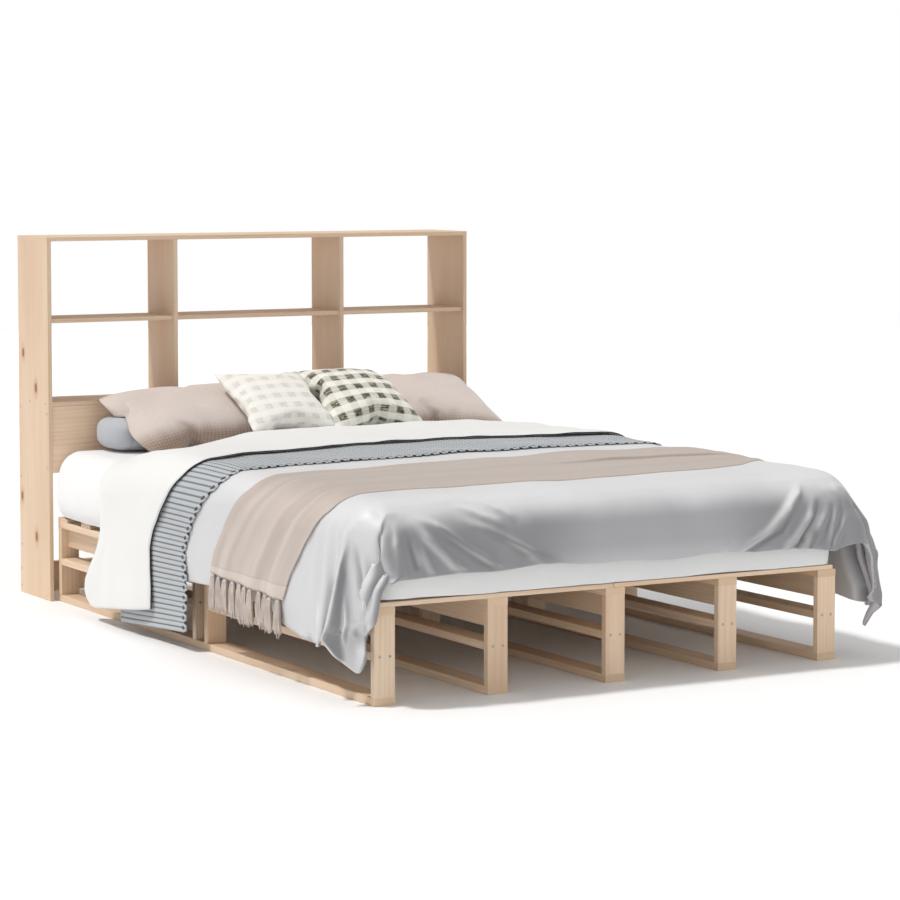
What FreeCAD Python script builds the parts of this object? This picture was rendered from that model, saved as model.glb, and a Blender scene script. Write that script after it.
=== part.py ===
import FreeCAD, Part
import os
import math

V = FreeCAD.Vector

# ---------------------------------------------------------------------------
# Driving dimensions, in millimetres.
# Working frame: X to the right seen from the foot, Y from the foot face of the
# slatted base towards the head, Z up from the floor. Everything is moved at
# the end so that the origin is the bottom centre of the bounding box.
# ---------------------------------------------------------------------------
BED_W = 1400.0          # width of the slatted base over its outer ladder frames
BED_L = 2005.0          # length of every ladder frame
PLANK_T = 20.0          # thickness of every base plank
PLANK_W = 58.0          # width of every base plank
BASE_H = 243.0          # floor to the top of the ladder frames
MID_Z = 111.5           # underside of the middle rail
FRAME_X = (0.0, 321.5, 671.0, 1020.5, BED_W - PLANK_W)   # left side of each ladder frame
POST_Y = (0.0, 955.0, 1030.0, BED_L - PLANK_T)           # foot side of the four posts
WEB_X = 22.0            # inset of the upright web board from the frame's left side
WEB_H = 58.0            # height of the web board below the top rail
SLAT_T = 12.0
SLAT_W = 68.0
SLAT_N = 12
SLAT_L = 694.0          # length of each half slat
SLAT_SEAM = 2.0         # gap between the two halves over the middle frame
SLAT_X0 = 0.0

BC_T = 13.0             # board thickness of the bookcase
BC_X0, BC_X1 = -28.0, 1428.0
BC_Y0 = 2007.0          # front of the bookcase
BC_DEPTH = 238.0        # depth of the side panels and the top board
BC_IN = 198.0           # depth of the dividers and the shelves
BC_SIDE_H = 1087.0
LOW_Z = 590.0           # underside of the lower shelf
MID_SHELF_Z = 840.5     # underside of the middle shelves
DIV_X = (388.0, 964.0)  # left side of the two dividers
SHELF_BACK = 8.0        # setback of the middle shelves from the front
BB_SET = 7.0            # setback of the backboard planks
BB_Z = (388.0, 471.0, 590.0)    # lower edge, joint and upper edge of the planks
PLINTH_H = 90.0         # height of the rear stretcher on the floor
BATTEN = 28.0           # section of the rear corner battens

MAT_L, MAT_T = 2000.0, 200.0
MAT_R = 38.0
SHEET_T = 1.2
DUVET_TOP = 516.0
GAP = 0.3

FOOT_OUT = -60.0        # furthest bedding in front of the foot face
SIDE_OUT = 130.0        # furthest bedding beyond either side of the base

EASE = 1.2              # broken edges of the planks

# origin: bottom centre of the whole bounding box
OX = (-SIDE_OUT + BED_W + SIDE_OUT) / 2.0
OY = (FOOT_OUT + BC_Y0 + BC_DEPTH) / 2.0
SHIFT = V(-OX, -OY, 0)

os.makedirs("parts", exist_ok=True)
NODES = {}


def add(name, shapes):
    if not isinstance(shapes, (list, tuple)):
        shapes = [shapes]
    NODES.setdefault(name, []).extend(shapes)


def box(x0, y0, z0, x1, y1, z1):
    return Part.makeBox(x1 - x0, y1 - y0, z1 - z0, V(x0, y0, z0))


def plank(x0, y0, z0, x1, y1, z1, ease=EASE):
    """A sawn board with its four long edges broken."""
    b = box(x0, y0, z0, x1, y1, z1)
    d = (x1 - x0, y1 - y0, z1 - z0)
    k = d.index(max(d))
    edges = []
    for e in b.Edges:
        t = e.tangentAt(e.FirstParameter)
        if abs((t.x, t.y, t.z)[k]) > 0.99:
            edges.append(e)
    return b.makeChamfer(ease, edges)


def screw(p, direction, length, r=2.0, head_r=4.0, head_h=2.4):
    """Countersunk wood screw whose flat head is flush at p and which points along direction."""
    d = V(direction)
    d.normalize()
    head = Part.makeCone(head_r, r, head_h, p, d)
    shank = Part.makeCylinder(r, length - head_h - 4.0, p + d * head_h, d)
    tip = Part.makeCone(r, 0.4, 4.0, p + d * (length - 4.0), d)
    return head.fuse(shank).fuse(tip).removeSplitter()


def cut_all(shape, tools):
    bb = shape.BoundBox
    hit = [t for t in tools if bb.intersect(t.BoundBox)]
    if not hit:
        return shape
    return shape.cut(hit[0].fuse(hit[1:]) if len(hit) > 1 else hit[0])


# ---------------------------------------------------------------------------
# Screws of the base, placed first so that every board gets its real hole
# ---------------------------------------------------------------------------
frame_screws = []
slat_screws = []
sunk = []
slat_y = [i * (BED_L - SLAT_W) / (SLAT_N - 1) for i in range(SLAT_N)]

for fx in FRAME_X:
    cx = fx + PLANK_W / 2.0
    for i, py in enumerate(POST_Y):
        cy = py + PLANK_T / 2.0
        # through the bottom rail, up into the foot of the post, head sunk just below the floor face
        frame_screws.append(screw(V(cx, cy, 0.8), V(0, 0, 1), 50))
        sunk.append(Part.makeCylinder(4.0, 0.8, V(cx, cy, 0)))
        # through the top rail, down into the head of the post
        frame_screws.append(screw(V(fx + 10.5, cy, BASE_H), V(0, 0, -1), 50))
        # two through the face of the post into the end of the middle rail
        zc = MID_Z + PLANK_T / 2.0
        face, d = (py, 1) if i in (0, 2) else (py + PLANK_T, -1)
        for dx in (-14.5, 14.5):
            frame_screws.append(screw(V(cx + dx, face, zc), V(0, d, 0), 48))
    # down through the top rail into the edge of the web boards
    wx = fx + WEB_X + PLANK_T / 2.0
    for y0, y1 in ((POST_Y[0] + PLANK_T, POST_Y[1]), (POST_Y[2] + PLANK_T, POST_Y[3])):
        for k in (0.12, 0.5, 0.88):
            frame_screws.append(screw(V(wx + 0.0, y0 + (y1 - y0) * k, BASE_H), V(0, 0, -1), 45))

x_right = SLAT_X0 + SLAT_L + SLAT_SEAM
for y in slat_y:
    cy = y + SLAT_W / 2.0
    for fx in FRAME_X[:2]:
        slat_screws.append(screw(V(fx + 36.0, cy + 17.0, BASE_H + SLAT_T), V(0, 0, -1), 26, 1.6, 3.4, 2.0))
    slat_screws.append(screw(V(SLAT_X0 + SLAT_L - 10.0, cy + 17.0, BASE_H + SLAT_T), V(0, 0, -1), 26, 1.6, 3.4, 2.0))
    slat_screws.append(screw(V(x_right + 12.0, cy - 17.0, BASE_H + SLAT_T), V(0, 0, -1), 26, 1.6, 3.4, 2.0))
    for fx in FRAME_X[3:]:
        slat_screws.append(screw(V(fx + 20.0, cy - 17.0, BASE_H + SLAT_T), V(0, 0, -1), 26, 1.6, 3.4, 2.0))

base_tools = frame_screws + slat_screws + sunk

# ---------------------------------------------------------------------------
# Slatted base: five ladder frames standing side by side
# ---------------------------------------------------------------------------
for n, fx in enumerate(FRAME_X, 1):
    x1 = fx + PLANK_W
    add("bottom_rail_%d" % n, cut_all(plank(fx, 0, 0, x1, BED_L, PLANK_T), base_tools))
    add("top_rail_%d" % n, cut_all(plank(fx, 0, BASE_H - PLANK_T, x1, BED_L, BASE_H), base_tools))
    for py in POST_Y:
        add("posts_%d" % n, cut_all(plank(fx, py, PLANK_T, x1, py + PLANK_T, BASE_H - PLANK_T), base_tools))
    for y0, y1 in ((POST_Y[0] + PLANK_T, POST_Y[1]), (POST_Y[2] + PLANK_T, POST_Y[3])):
        add("mid_rails_%d" % n, cut_all(plank(fx, y0, MID_Z, x1, y1, MID_Z + PLANK_T), base_tools))
        add("web_boards_%d" % n, cut_all(plank(
            fx + WEB_X, y0, BASE_H - PLANK_T - WEB_H, fx + WEB_X + PLANK_T, y1, BASE_H - PLANK_T), base_tools))

for y in slat_y:
    add("slats_left", cut_all(plank(SLAT_X0, y, BASE_H, SLAT_X0 + SLAT_L, y + SLAT_W, BASE_H + SLAT_T), slat_screws))
    add("slats_right", cut_all(plank(x_right, y, BASE_H, x_right + SLAT_L, y + SLAT_W, BASE_H + SLAT_T), slat_screws))

add("frame_screws", frame_screws)
add("slat_screws", slat_screws)

# ---------------------------------------------------------------------------
# Bookcase headboard
# ---------------------------------------------------------------------------
by0, by1 = BC_Y0, BC_Y0 + BC_DEPTH
xi0, xi1 = BC_X0 + BC_T, BC_X1 - BC_T
low_top = LOW_Z + BC_T
bc_screws = []


def side_screws(y, z, length=42.0):
    """A screw through each side panel at the same height."""
    bc_screws.append(screw(V(BC_X0, y, z), V(1, 0, 0), length))
    bc_screws.append(screw(V(BC_X1, y, z), V(-1, 0, 0), length))


side_screws(by0 + 22.0, LOW_Z + BC_T / 2.0)
side_screws(by0 + 150.0, LOW_Z + BC_T / 2.0)
side_screws(by0 + BB_SET + BC_T / 2.0, 566.0)
side_screws(by0 + BB_SET + BC_T / 2.0, 404.0)
side_screws(by1 - 10.0, 75.0)
side_screws(by1 - 10.0, 22.0)
side_screws(by1 - 15.0, 575.0, 34.0)
side_screws(by1 - 15.0, 360.0, 34.0)
side_screws(by1 - 15.0, 150.0, 34.0)
# top board down onto the side panels and the dividers
top_z = BC_SIDE_H + BC_T
for x in (BC_X0 + BC_T / 2.0, BC_X1 - BC_T / 2.0, DIV_X[0] + BC_T / 2.0, DIV_X[1] + BC_T / 2.0):
    for y in (by0 + 35.0, by0 + 165.0):
        bc_screws.append(screw(V(x, y, top_z), V(0, 0, -1), 42))
# lower shelf up into the dividers
for x in (DIV_X[0] + BC_T / 2.0, DIV_X[1] + BC_T / 2.0):
    for y in (by0 + 45.0, by0 + 160.0):
        bc_screws.append(screw(V(x, y, LOW_Z), V(0, 0, 1), 42))

# shelf dowels: short pins that carry the middle shelves at their ends
dowels = []
DOWEL_R, DOWEL_IN = 3.0, 8.0
for xb, s in ((xi0, 1), (DIV_X[0], -1), (DIV_X[0] + BC_T, 1), (DIV_X[1], -1), (DIV_X[1] + BC_T, 1), (xi1, -1)):
    for y in (by0 + SHELF_BACK + 32.0, by0 + 165.0):
        x0 = xb - s * 6.0
        dowels.append(Part.makeCylinder(DOWEL_R, 6.0 + 22.0, V(x0, y, MID_SHELF_Z + BC_T / 2.0), V(s, 0, 0)))

bc_tools = bc_screws + dowels
add("side_panel_left", cut_all(plank(BC_X0, by0, 0, xi0, by1, BC_SIDE_H), bc_tools))
add("side_panel_right", cut_all(plank(xi1, by0, 0, BC_X1, by1, BC_SIDE_H), bc_tools))
add("top_board", cut_all(plank(BC_X0, by0, BC_SIDE_H, BC_X1, by1, top_z), bc_tools))
add("divider_left", cut_all(plank(DIV_X[0], by0, low_top, DIV_X[0] + BC_T, by0 + BC_IN, BC_SIDE_H), bc_tools))
add("divider_right", cut_all(plank(DIV_X[1], by0, low_top, DIV_X[1] + BC_T, by0 + BC_IN, BC_SIDE_H), bc_tools))
for name, xa, xb in (("middle_shelf_left", xi0, DIV_X[0]), ("middle_shelf_centre", DIV_X[0] + BC_T, DIV_X[1]),
                     ("middle_shelf_right", DIV_X[1] + BC_T, xi1)):
    add(name, cut_all(plank(xa, by0 + SHELF_BACK, MID_SHELF_Z, xb, by0 + BC_IN, MID_SHELF_Z + BC_T), bc_tools))
add("lower_shelf", cut_all(plank(xi0, by0 + 1.5, LOW_Z, xi1, by0 + BC_IN, low_top), bc_tools))
yb = by0 + BB_SET
add("backboard_lower", cut_all(plank(xi0, yb, BB_Z[0], xi1, yb + BC_T, BB_Z[1]), bc_tools))
add("backboard_upper", cut_all(plank(xi0, yb, BB_Z[1], xi1, yb + BC_T, BB_Z[2]), bc_tools))
add("rear_stretcher", cut_all(plank(xi0, by1 - 20.0, 0, xi1, by1, PLINTH_H), bc_tools))
add("rear_batten_left", cut_all(plank(xi0, by1 - BATTEN, PLINTH_H, xi0 + BATTEN, by1, low_top), bc_tools))
add("rear_batten_right", cut_all(plank(xi1 - BATTEN, by1 - BATTEN, PLINTH_H, xi1, by1, low_top), bc_tools))
add("bookcase_screws", bc_screws)
add("shelf_dowels", dowels)

# two battens behind the backboard hold its planks together
bb_screws = []
for x in (xi0 + 330.0, xi1 - 330.0 - 45.0):
    for z in (405.0, 452.0, 490.0, 566.0):
        bb_screws.append(screw(V(x + 22.5, yb + BC_T + 18.0, z), V(0, -1, 0), 28, 1.8, 3.6, 2.2))
    add("backboard_battens", cut_all(plank(x, yb + BC_T, BB_Z[0] + 4.0, x + 45.0, yb + BC_T + 18.0, BB_Z[2]), bb_screws))
for nm in ("backboard_lower", "backboard_upper"):
    NODES[nm] = [cut_all(s, bb_screws) for s in NODES[nm]]
add("batten_screws", bb_screws)

# ---------------------------------------------------------------------------
# Bedding as plain closed solids of the right size and place
# ---------------------------------------------------------------------------
deck = BASE_H + SLAT_T
m0, m1 = deck + GAP, deck + GAP + MAT_T
mat = box(0, 2, m0, BED_W, 2 + MAT_L, m1)
mat = mat.makeFillet(MAT_R, [e for e in mat.Edges if abs(e.tangentAt(e.FirstParameter).z) > 0.99])
mat = mat.makeFillet(22.0, [e for e in mat.Edges if abs(e.BoundBox.ZMax - m1) < 1e-6 and e.BoundBox.ZLength < 1e-6])
add("mattress", mat)

# fitted sheet: a thin lid over the mattress, open below
g = GAP
so = g + SHEET_T


def lid(o, top, low):
    b = box(-o, 2 - o, low, BED_W + o, 2 + MAT_L + o, top)
    b = b.makeFillet(MAT_R + o, [e for e in b.Edges if abs(e.tangentAt(e.FirstParameter).z) > 0.99])
    return b.makeFillet(22.0 + o, [e for e in b.Edges if abs(e.BoundBox.ZMax - top) < 1e-6 and e.BoundBox.ZLength < 1e-6])


sheet = lid(so, m1 + so, m0 + 2.0).cut(lid(g, m1 + g, m0 - 40.0))
add("fitted_sheet", sheet)
top_in = m1 + so + GAP


# Bed covers: the cross-section is two upright sides joined to a flat top by round edges.
# s runs over the bed from left to right, 0 where the left side starts to round over.
CX0, CX1, CTOP, CR = -56.0, 1456.0, 504.0, 95.0
CSIDE = CTOP - CR
CQ = math.pi * CR / 2.0
CFLAT = CX1 - CX0 - 2 * CR
S_END = 2 * CQ + CFLAT


def at(tab, s):
    """Linear table look-up."""
    if s <= tab[0][0]:
        return tab[0][1]
    for (s0, v0), (s1, v1) in zip(tab, tab[1:]):
        if s <= s1:
            return v0 + (v1 - v0) * (s - s0) / (s1 - s0)
    return tab[-1][1]


def plan_x(s):
    """X of a point of the section, for s between the two round edges."""
    if s < CQ:
        return CX0 + CR - CR * math.cos(s / CR)
    if s < CQ + CFLAT:
        return CX0 + CR + s - CQ
    return CX1 - CR + CR * math.sin((s - CQ - CFLAT) / CR)


def section(a, b, y0, y1):
    """Round-edged hood between two offsets from the section line, above the sides."""
    def loop(o):
        r = CR + o
        k = r * math.sqrt(0.5)
        c0, c1 = V(CX0 + CR, 0, CSIDE), V(CX1 - CR, 0, CSIDE)
        p = [V(CX0 - o, y0, CSIDE), V(c0.x - k, y0, CSIDE + k), V(c0.x, y0, CSIDE + r),
             V(c1.x, y0, CSIDE + r), V(c1.x + k, y0, CSIDE + k), V(CX1 + o, y0, CSIDE)]
        return p
    o, i = loop(b), loop(a)
    edges = [Part.Arc(o[0], o[1], o[2]).toShape(), Part.makeLine(o[2], o[3]), Part.Arc(o[3], o[4], o[5]).toShape(),
             Part.makeLine(o[5], i[5]), Part.Arc(i[5], i[4], i[3]).toShape(), Part.makeLine(i[3], i[2]),
             Part.Arc(i[2], i[1], i[0]).toShape(), Part.makeLine(i[0], o[0])]
    return Part.Face(Part.Wire(edges)).extrude(V(0, y1 - y0, 0))


def poly(pts, vec):
    return Part.Face(Part.makePolygon(pts + [pts[0]])).extrude(vec)


def strip(a, b, foot, head, s_lo, s_hi):
    """A cover across the bed between its foot and head edges, from s_lo on the left to s_hi on the right."""
    def steps(s0, s1):
        own = sorted(set([s0, s1] + [t[0] for t in foot + head if s0 < t[0] < s1]))
        out = []
        for p0, p1 in zip(own, own[1:]):
            n = max(1, int((p1 - p0) / 40.0)) if (p0 < CQ or p1 > CQ + CFLAT) else 1
            out += [p0 + (p1 - p0) * k / n for k in range(n)]
        return out + [s1]
    hi = min(s_hi, S_END)
    m = steps(0.0, hi)
    xs = [plan_x(v) for v in m]
    xs[0] -= b + 1.0
    if s_hi > S_END:
        xs[-1] += b + 1.0
    pts = [V(x, at(foot, v), CSIDE) for x, v in zip(xs, m)] + [V(x, at(head, v), CSIDE) for x, v in reversed(list(zip(xs, m)))]
    body = section(a, b, -200.0, 2100.0).common(poly(pts, V(0, 0, CR + b + 20.0)))
    parts = []
    m = steps(s_lo, 0.0)
    pts = [V(CX0 - b, at(foot, v), CSIDE + v) for v in m] + [V(CX0 - b, at(head, v), CSIDE + v) for v in reversed(m)]
    parts.append(poly(pts, V(b - a, 0, 0)))
    if s_hi > S_END:
        m = steps(S_END, s_hi)
        pts = [V(CX1 + a, at(foot, v), CSIDE - (v - S_END)) for v in m] + [V(CX1 + a, at(head, v), CSIDE - (v - S_END)) for v in reversed(m)]
        parts.append(poly(pts, V(b - a, 0, 0)))
    return body.fuse(parts).removeSplitter()


# duvet: hood over the foot half, its sides, the foot drop and the two longer corners
DUVET_Y1 = 1195.0
duvet = section(-45.5, 0.0, -44.0, DUVET_Y1).cut(box(-20, -60, CSIDE - 1, BED_W + 20, DUVET_Y1 + 1, top_in))
duvet = duvet.fuse([
    box(-56, -44, 160.0, -8.0, DUVET_Y1, CSIDE), box(BED_W + 8, -44, 95.0, BED_W + 56, DUVET_Y1, CSIDE),
    box(-56, -44, 318.0, BED_W + 56, -6.0, CSIDE + 40.0),
    box(-SIDE_OUT, FOOT_OUT, 100.0, -8.0, 120.0, CSIDE - 60.0),
    box(-56, 60.0, 112.0, -8.0, 400.0, 200.0),
    box(-56, FOOT_OUT, 290.0, BED_W + 56, -44.0, CSIDE + 20.0),
    box(BED_W + 8.0, FOOT_OUT, 76.0, BED_W + SIDE_OUT, 180.0, CSIDE - 60.0),
]).removeSplitter()
add("duvet_grey", duvet)

# ribbed throw, fringed blanket and the turned-down white half, edges as (s, Y)
THROW_F = [(-386.0, 954.0), (-138.0, 951.0), (-88.0, 926.0), (-37.0, 888.0), (10.0, 835.0), (50.0, 790.0), (90.0, 766.0),
           (200.0, 782.0), (450.0, 824.0), (972.0, 884.0), (1250.0, 870.0), (1365.0, 842.0), (1500.0, 830.0), (1730.0, 830.0)]
THROW_H = [(-386.0, 1399.0), (-330.0, 1396.0), (-200.0, 1370.0), (-80.0, 1290.0), (0.0, 1215.0), (75.0, 1170.0),
           (300.0, 1215.0), (700.0, 1270.0), (1133.0, 1270.0), (1424.0, 1200.0), (1730.0, 1180.0)]
BLANKET_F = [(-190.0, 371.0), (-118.0, 322.0), (-25.0, 237.0), (62.0, 150.0), (120.0, 130.0), (214.0, 146.0), (468.0, 160.0),
             (828.0, 150.0), (1000.0, 165.0), (1212.0, 191.0), (1364.0, 222.0), (1450.0, 285.0), (1500.0, 310.0), (1700.0, 330.0)]
BLANKET_H = [(-190.0, 801.0), (-111.0, 770.0), (-27.0, 699.0), (30.0, 640.0), (70.0, 600.0), (120.0, 585.0), (220.0, 592.0),
             (430.0, 618.0), (851.0, 680.0), (1269.0, 690.0), (1460.0, 640.0), (1620.0, 610.0), (1700.0, 600.0)]
WHITE_F = [(-360.0, 1165.0), (-204.0, 1176.0), (-149.0, 1172.0), (-92.0, 1140.0), (-33.0, 1088.0), (20.0, 1040.0), (60.0, 1000.0),
           (110.0, 985.0), (160.0, 1003.0), (268.0, 1055.0), (429.0, 1093.0), (710.0, 1148.0), (1133.0, 1160.0), (1424.0, 1065.0),
           (1620.0, 1040.0), (1935.0, 1050.0)]
WHITE_H = [(-360.0, 1608.0), (-345.0, 1630.0), (-319.0, 1638.0), (-237.0, 1596.0), (-141.0, 1530.0), (0.0, 1520.0), (150.0, 1535.0),
           (600.0, 1575.0), (1300.0, 1580.0), (1620.0, 1575.0), (1935.0, 1610.0)]
add("ribbed_throw", strip(GAP, 9.0, THROW_F, THROW_H, -386.0, 1726.0))
add("fringed_blanket", strip(GAP, 8.0, BLANKET_F, BLANKET_H, -190.0, 1700.0))
white = strip(9.0 + GAP, 24.0, WHITE_F, WHITE_H, -360.0, 1930.0)
# its thick part lies on the sheet behind the duvet
pad = poly([V(30, 1412, 0), V(40, DUVET_Y1 + GAP, 0), V(BED_W - 40, DUVET_Y1 + GAP, 0), V(BED_W - 30, 1412, 0),
            V(BED_W - 40, 1560, 0), V(900, 1568, 0), V(600, 1560, 0), V(150, 1525, 0), V(40, 1510, 0)], V(0, 0, CTOP + 12.0 - top_in))
pad.translate(V(0, 0, top_in))
throw_room = box(-200, 700, CTOP - 1.0, BED_W + 200, 1402, CTOP + 9.0 + GAP)
white = white.fuse(pad.cut(throw_room)).removeSplitter()
add("duvet_white_turned_down", white)

fringe = []
FRINGE_N = 11
for k in range(FRINGE_N):
    y = 371.0 + (k + 0.5) * (801.0 - 371.0) / FRINGE_N
    z1 = CSIDE - 190.0 - GAP
    fringe.append(box(CX0 - 9.0, y - 16.0, z1 - 98.0, CX0 - 1.0, y + 16.0, z1))
add("blanket_fringe", fringe)


def pillow(w, h, t, cx, cy, cz, tilt, yaw=0.0, off=()):
    """A soft block with round edges that leans towards the head, flat where it lies on another piece."""
    r = t / 2.0 - 1.0
    b = box(-w / 2, -h / 2, -t / 2, w / 2, h / 2, t / 2)
    b = b.makeFillet(r * 0.98, [e for e in b.Edges if abs(e.tangentAt(e.FirstParameter).z) > 0.99])
    b = b.makeFillet(r * 0.9, [e for e in b.Edges if e.BoundBox.ZLength < 1e-6])
    b.rotate(V(0, 0, 0), V(1, 0, 0), tilt)
    b.rotate(V(0, 0, 0), V(0, 0, 1), yaw)
    b.translate(V(cx, cy, cz))
    b = b.cut([box(-300, 1300, 300, BED_W + 300, 2100, top_in)] + list(off))
    return max(b.Solids, key=lambda q: q.Volume)


# what lies under the pillows, with a small clearance
white_room = box(-300, 1300, top_in, BED_W + 300, 1612, CTOP + 24.0 + GAP)
blue = box(62, 1794, top_in, 642, 1992, 563)
blue = blue.makeFillet(34.0, blue.Edges)
blue_room = box(62 - GAP, 1794 - GAP, top_in - 5, 642 + GAP, 1992 + GAP, 563 + GAP)
TILT = 27.0
add("pillow_grey_blue", blue)
tl = pillow(630, 380, 92, 446, 1818, 562, TILT, 0.0, (white_room, blue_room))
tr = pillow(590, 380, 92, 1092, 1812, 562, TILT, 0.0, (white_room,))
add("pillow_taupe_left", tl)
add("pillow_taupe_right", tr)
# the two small cushions lean on the taupe pillows, clear of their front faces
add("pillow_light_check", pillow(300, 300, 56, 582, 1668, 636, TILT + 3.0, 0.0, (tl, tr, white_room)))
add("pillow_dark_check", pillow(310, 300, 56, 892, 1668, 636, TILT + 3.0, 0.0, (tl, tr, white_room)))

# ---------------------------------------------------------------------------
# Export
# ---------------------------------------------------------------------------
total = None
for name, shapes in NODES.items():
    out = []
    for s in shapes:
        s = s.copy()
        s.translate(SHIFT)
        out += s.Solids
    shape = out[0] if len(out) == 1 else Part.makeCompound(out)
    for s in out:
        if not s.isValid() or s.Volume <= 0:
            print("BAD SOLID in", name)
    shape.exportStep("parts/%s.step" % name)
    bb = shape.BoundBox
    total = FreeCAD.BoundBox(bb) if total is None else total
    total.add(bb)
print("nodes", len(NODES), "solids", sum(len(v) for v in NODES.values()))
print("box", [round(v, 2) for v in (total.XMin, total.YMin, total.ZMin, total.XMax, total.YMax, total.ZMax)])
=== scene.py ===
import bmesh
import bpy
import math
import random
import numpy as np
from mathutils import Matrix, Vector
from mathutils.bvhtree import BVHTree


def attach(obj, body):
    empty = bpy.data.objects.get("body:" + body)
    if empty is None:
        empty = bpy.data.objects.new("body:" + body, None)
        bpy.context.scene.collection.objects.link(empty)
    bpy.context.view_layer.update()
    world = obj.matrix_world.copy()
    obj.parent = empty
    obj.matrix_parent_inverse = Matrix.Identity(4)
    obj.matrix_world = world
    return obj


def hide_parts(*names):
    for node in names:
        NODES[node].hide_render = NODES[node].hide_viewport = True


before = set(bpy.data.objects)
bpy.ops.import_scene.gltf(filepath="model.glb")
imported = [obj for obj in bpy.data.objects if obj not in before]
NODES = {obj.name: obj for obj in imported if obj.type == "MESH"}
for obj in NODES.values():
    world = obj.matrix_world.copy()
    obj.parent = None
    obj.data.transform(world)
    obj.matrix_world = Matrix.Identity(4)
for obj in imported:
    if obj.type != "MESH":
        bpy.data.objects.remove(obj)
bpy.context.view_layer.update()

OX, OY = 0.7, 1.0925          # row frame = bed coordinates less these, in metres
EMPTY = Vector((0, 0, 0))


def row(x, y, z):
    """Bed millimetres to row metres."""
    return (x / 1000.0 - OX, y / 1000.0 - OY, z / 1000.0)


def rowa(p):
    p = np.asarray(p, float) / 1000.0
    return p - np.array([OX, OY, 0.0])


# ---------------------------------------------------------------------------
# node helpers
# ---------------------------------------------------------------------------
class Net:
    def __init__(self, name, slot=None):
        self.m = bpy.data.materials.new(name)
        self.m.use_nodes = True
        self.t = self.m.node_tree
        self.t.nodes.clear()
        self.out = self.t.nodes.new("ShaderNodeOutputMaterial")
        self.b = self.t.nodes.new("ShaderNodeBsdfPrincipled")
        self.t.links.new(self.b.outputs[0], self.out.inputs[0])

    def put(self, sock, v):
        if isinstance(v, bpy.types.NodeSocket):
            self.t.links.new(v, sock)
        elif v is not None:
            if sock.type == "RGBA" and not hasattr(v, "__len__"):
                v = (v, v, v, 1)
            if sock.type == "RGBA" and len(v) == 3:
                v = (*v, 1)
            sock.default_value = v

    def new(self, kind, out=0, ins=(), **props):
        n = self.t.nodes.new("ShaderNode" + kind)
        for k, v in props.items():
            setattr(n, k, v)
        items = ins.items() if isinstance(ins, dict) else enumerate(ins)
        for k, v in items:
            self.put(n.inputs[k], v)
        return n.outputs[out]

    def math(self, op, a, b=None, c=None, clamp=False):
        return self.new("Math", 0, [v for v in (a, b, c) if v is not None], operation=op, use_clamp=clamp)

    def vec(self, op, a, b=None, out=0):
        return self.new("VectorMath", out, [v for v in (a, b) if v is not None], operation=op)

    def noise(self, vec, scale, detail=3.0, rough=0.5, dist=0.0, out=0):
        return self.new("TexNoise", out, {"Vector": vec, "Scale": scale, "Detail": detail, "Roughness": rough, "Distortion": dist})

    def ramp(self, fac, stops, interp="LINEAR"):
        n = self.t.nodes.new("ShaderNodeValToRGB")
        n.color_ramp.interpolation = interp
        e = n.color_ramp.elements
        while len(e) < len(stops):
            e.new(0.5)
        for i, (p, c) in enumerate(stops):
            e[i].position = p
            e[i].color = (*c, 1) if hasattr(c, "__len__") else (c, c, c, 1)
        self.t.links.new(fac, n.inputs[0])
        return n.outputs[0]

    def mix(self, fac, a, b, blend="MIX"):
        n = self.t.nodes.new("ShaderNodeMix")
        n.data_type = "RGBA"
        n.blend_type = blend
        self.put(n.inputs[0], fac)
        self.put(n.inputs[6], a)
        self.put(n.inputs[7], b)
        return n.outputs[2]

    def maprange(self, v, a, b, c=0.0, d=1.0, smooth=True):
        return self.new("MapRange", 0, {0: v, 1: a, 2: b, 3: c, 4: d},
                        interpolation_type="SMOOTHSTEP" if smooth else "LINEAR", clamp=True)

    def bump(self, height, strength=0.3, dist=0.001, normal=None):
        return self.new("Bump", 0, {"Strength": strength, "Distance": dist, "Height": height, "Normal": normal})

    def obj(self):
        return self.new("TexCoord", 3)

    def uv(self):
        return self.new("TexCoord", 2)

    def xyz(self, vec):
        n = self.t.nodes.new("ShaderNodeSeparateXYZ")
        self.put(n.inputs[0], vec)
        return n.outputs[0], n.outputs[1], n.outputs[2]

    def comb(self, x, y, z):
        return self.new("CombineXYZ", 0, [x, y, z])

    def surf(self, color, rough, normal=None, **socks):
        self.put(self.b.inputs["Base Color"], color)
        self.put(self.b.inputs["Roughness"], rough)
        if normal is not None:
            self.put(self.b.inputs["Normal"], normal)
        for k, v in socks.items():
            self.b.inputs[k.replace("_", " ")].default_value = v
        return self.m


def srgb(r, g, b):
    return tuple(((c / 255.0) / 12.92 if c / 255.0 <= 0.04045 else ((c / 255.0 + 0.055) / 1.055) ** 2.4) for c in (r, g, b))


# ---------------------------------------------------------------------------
# pine: annual rings cut along the board, pores, a few knots, darker end grain
# ---------------------------------------------------------------------------
PINE_LIGHT = srgb(231, 208, 182)
PINE_MID = srgb(220, 191, 162)
PINE_DARK = srgb(190, 150, 116)


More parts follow.
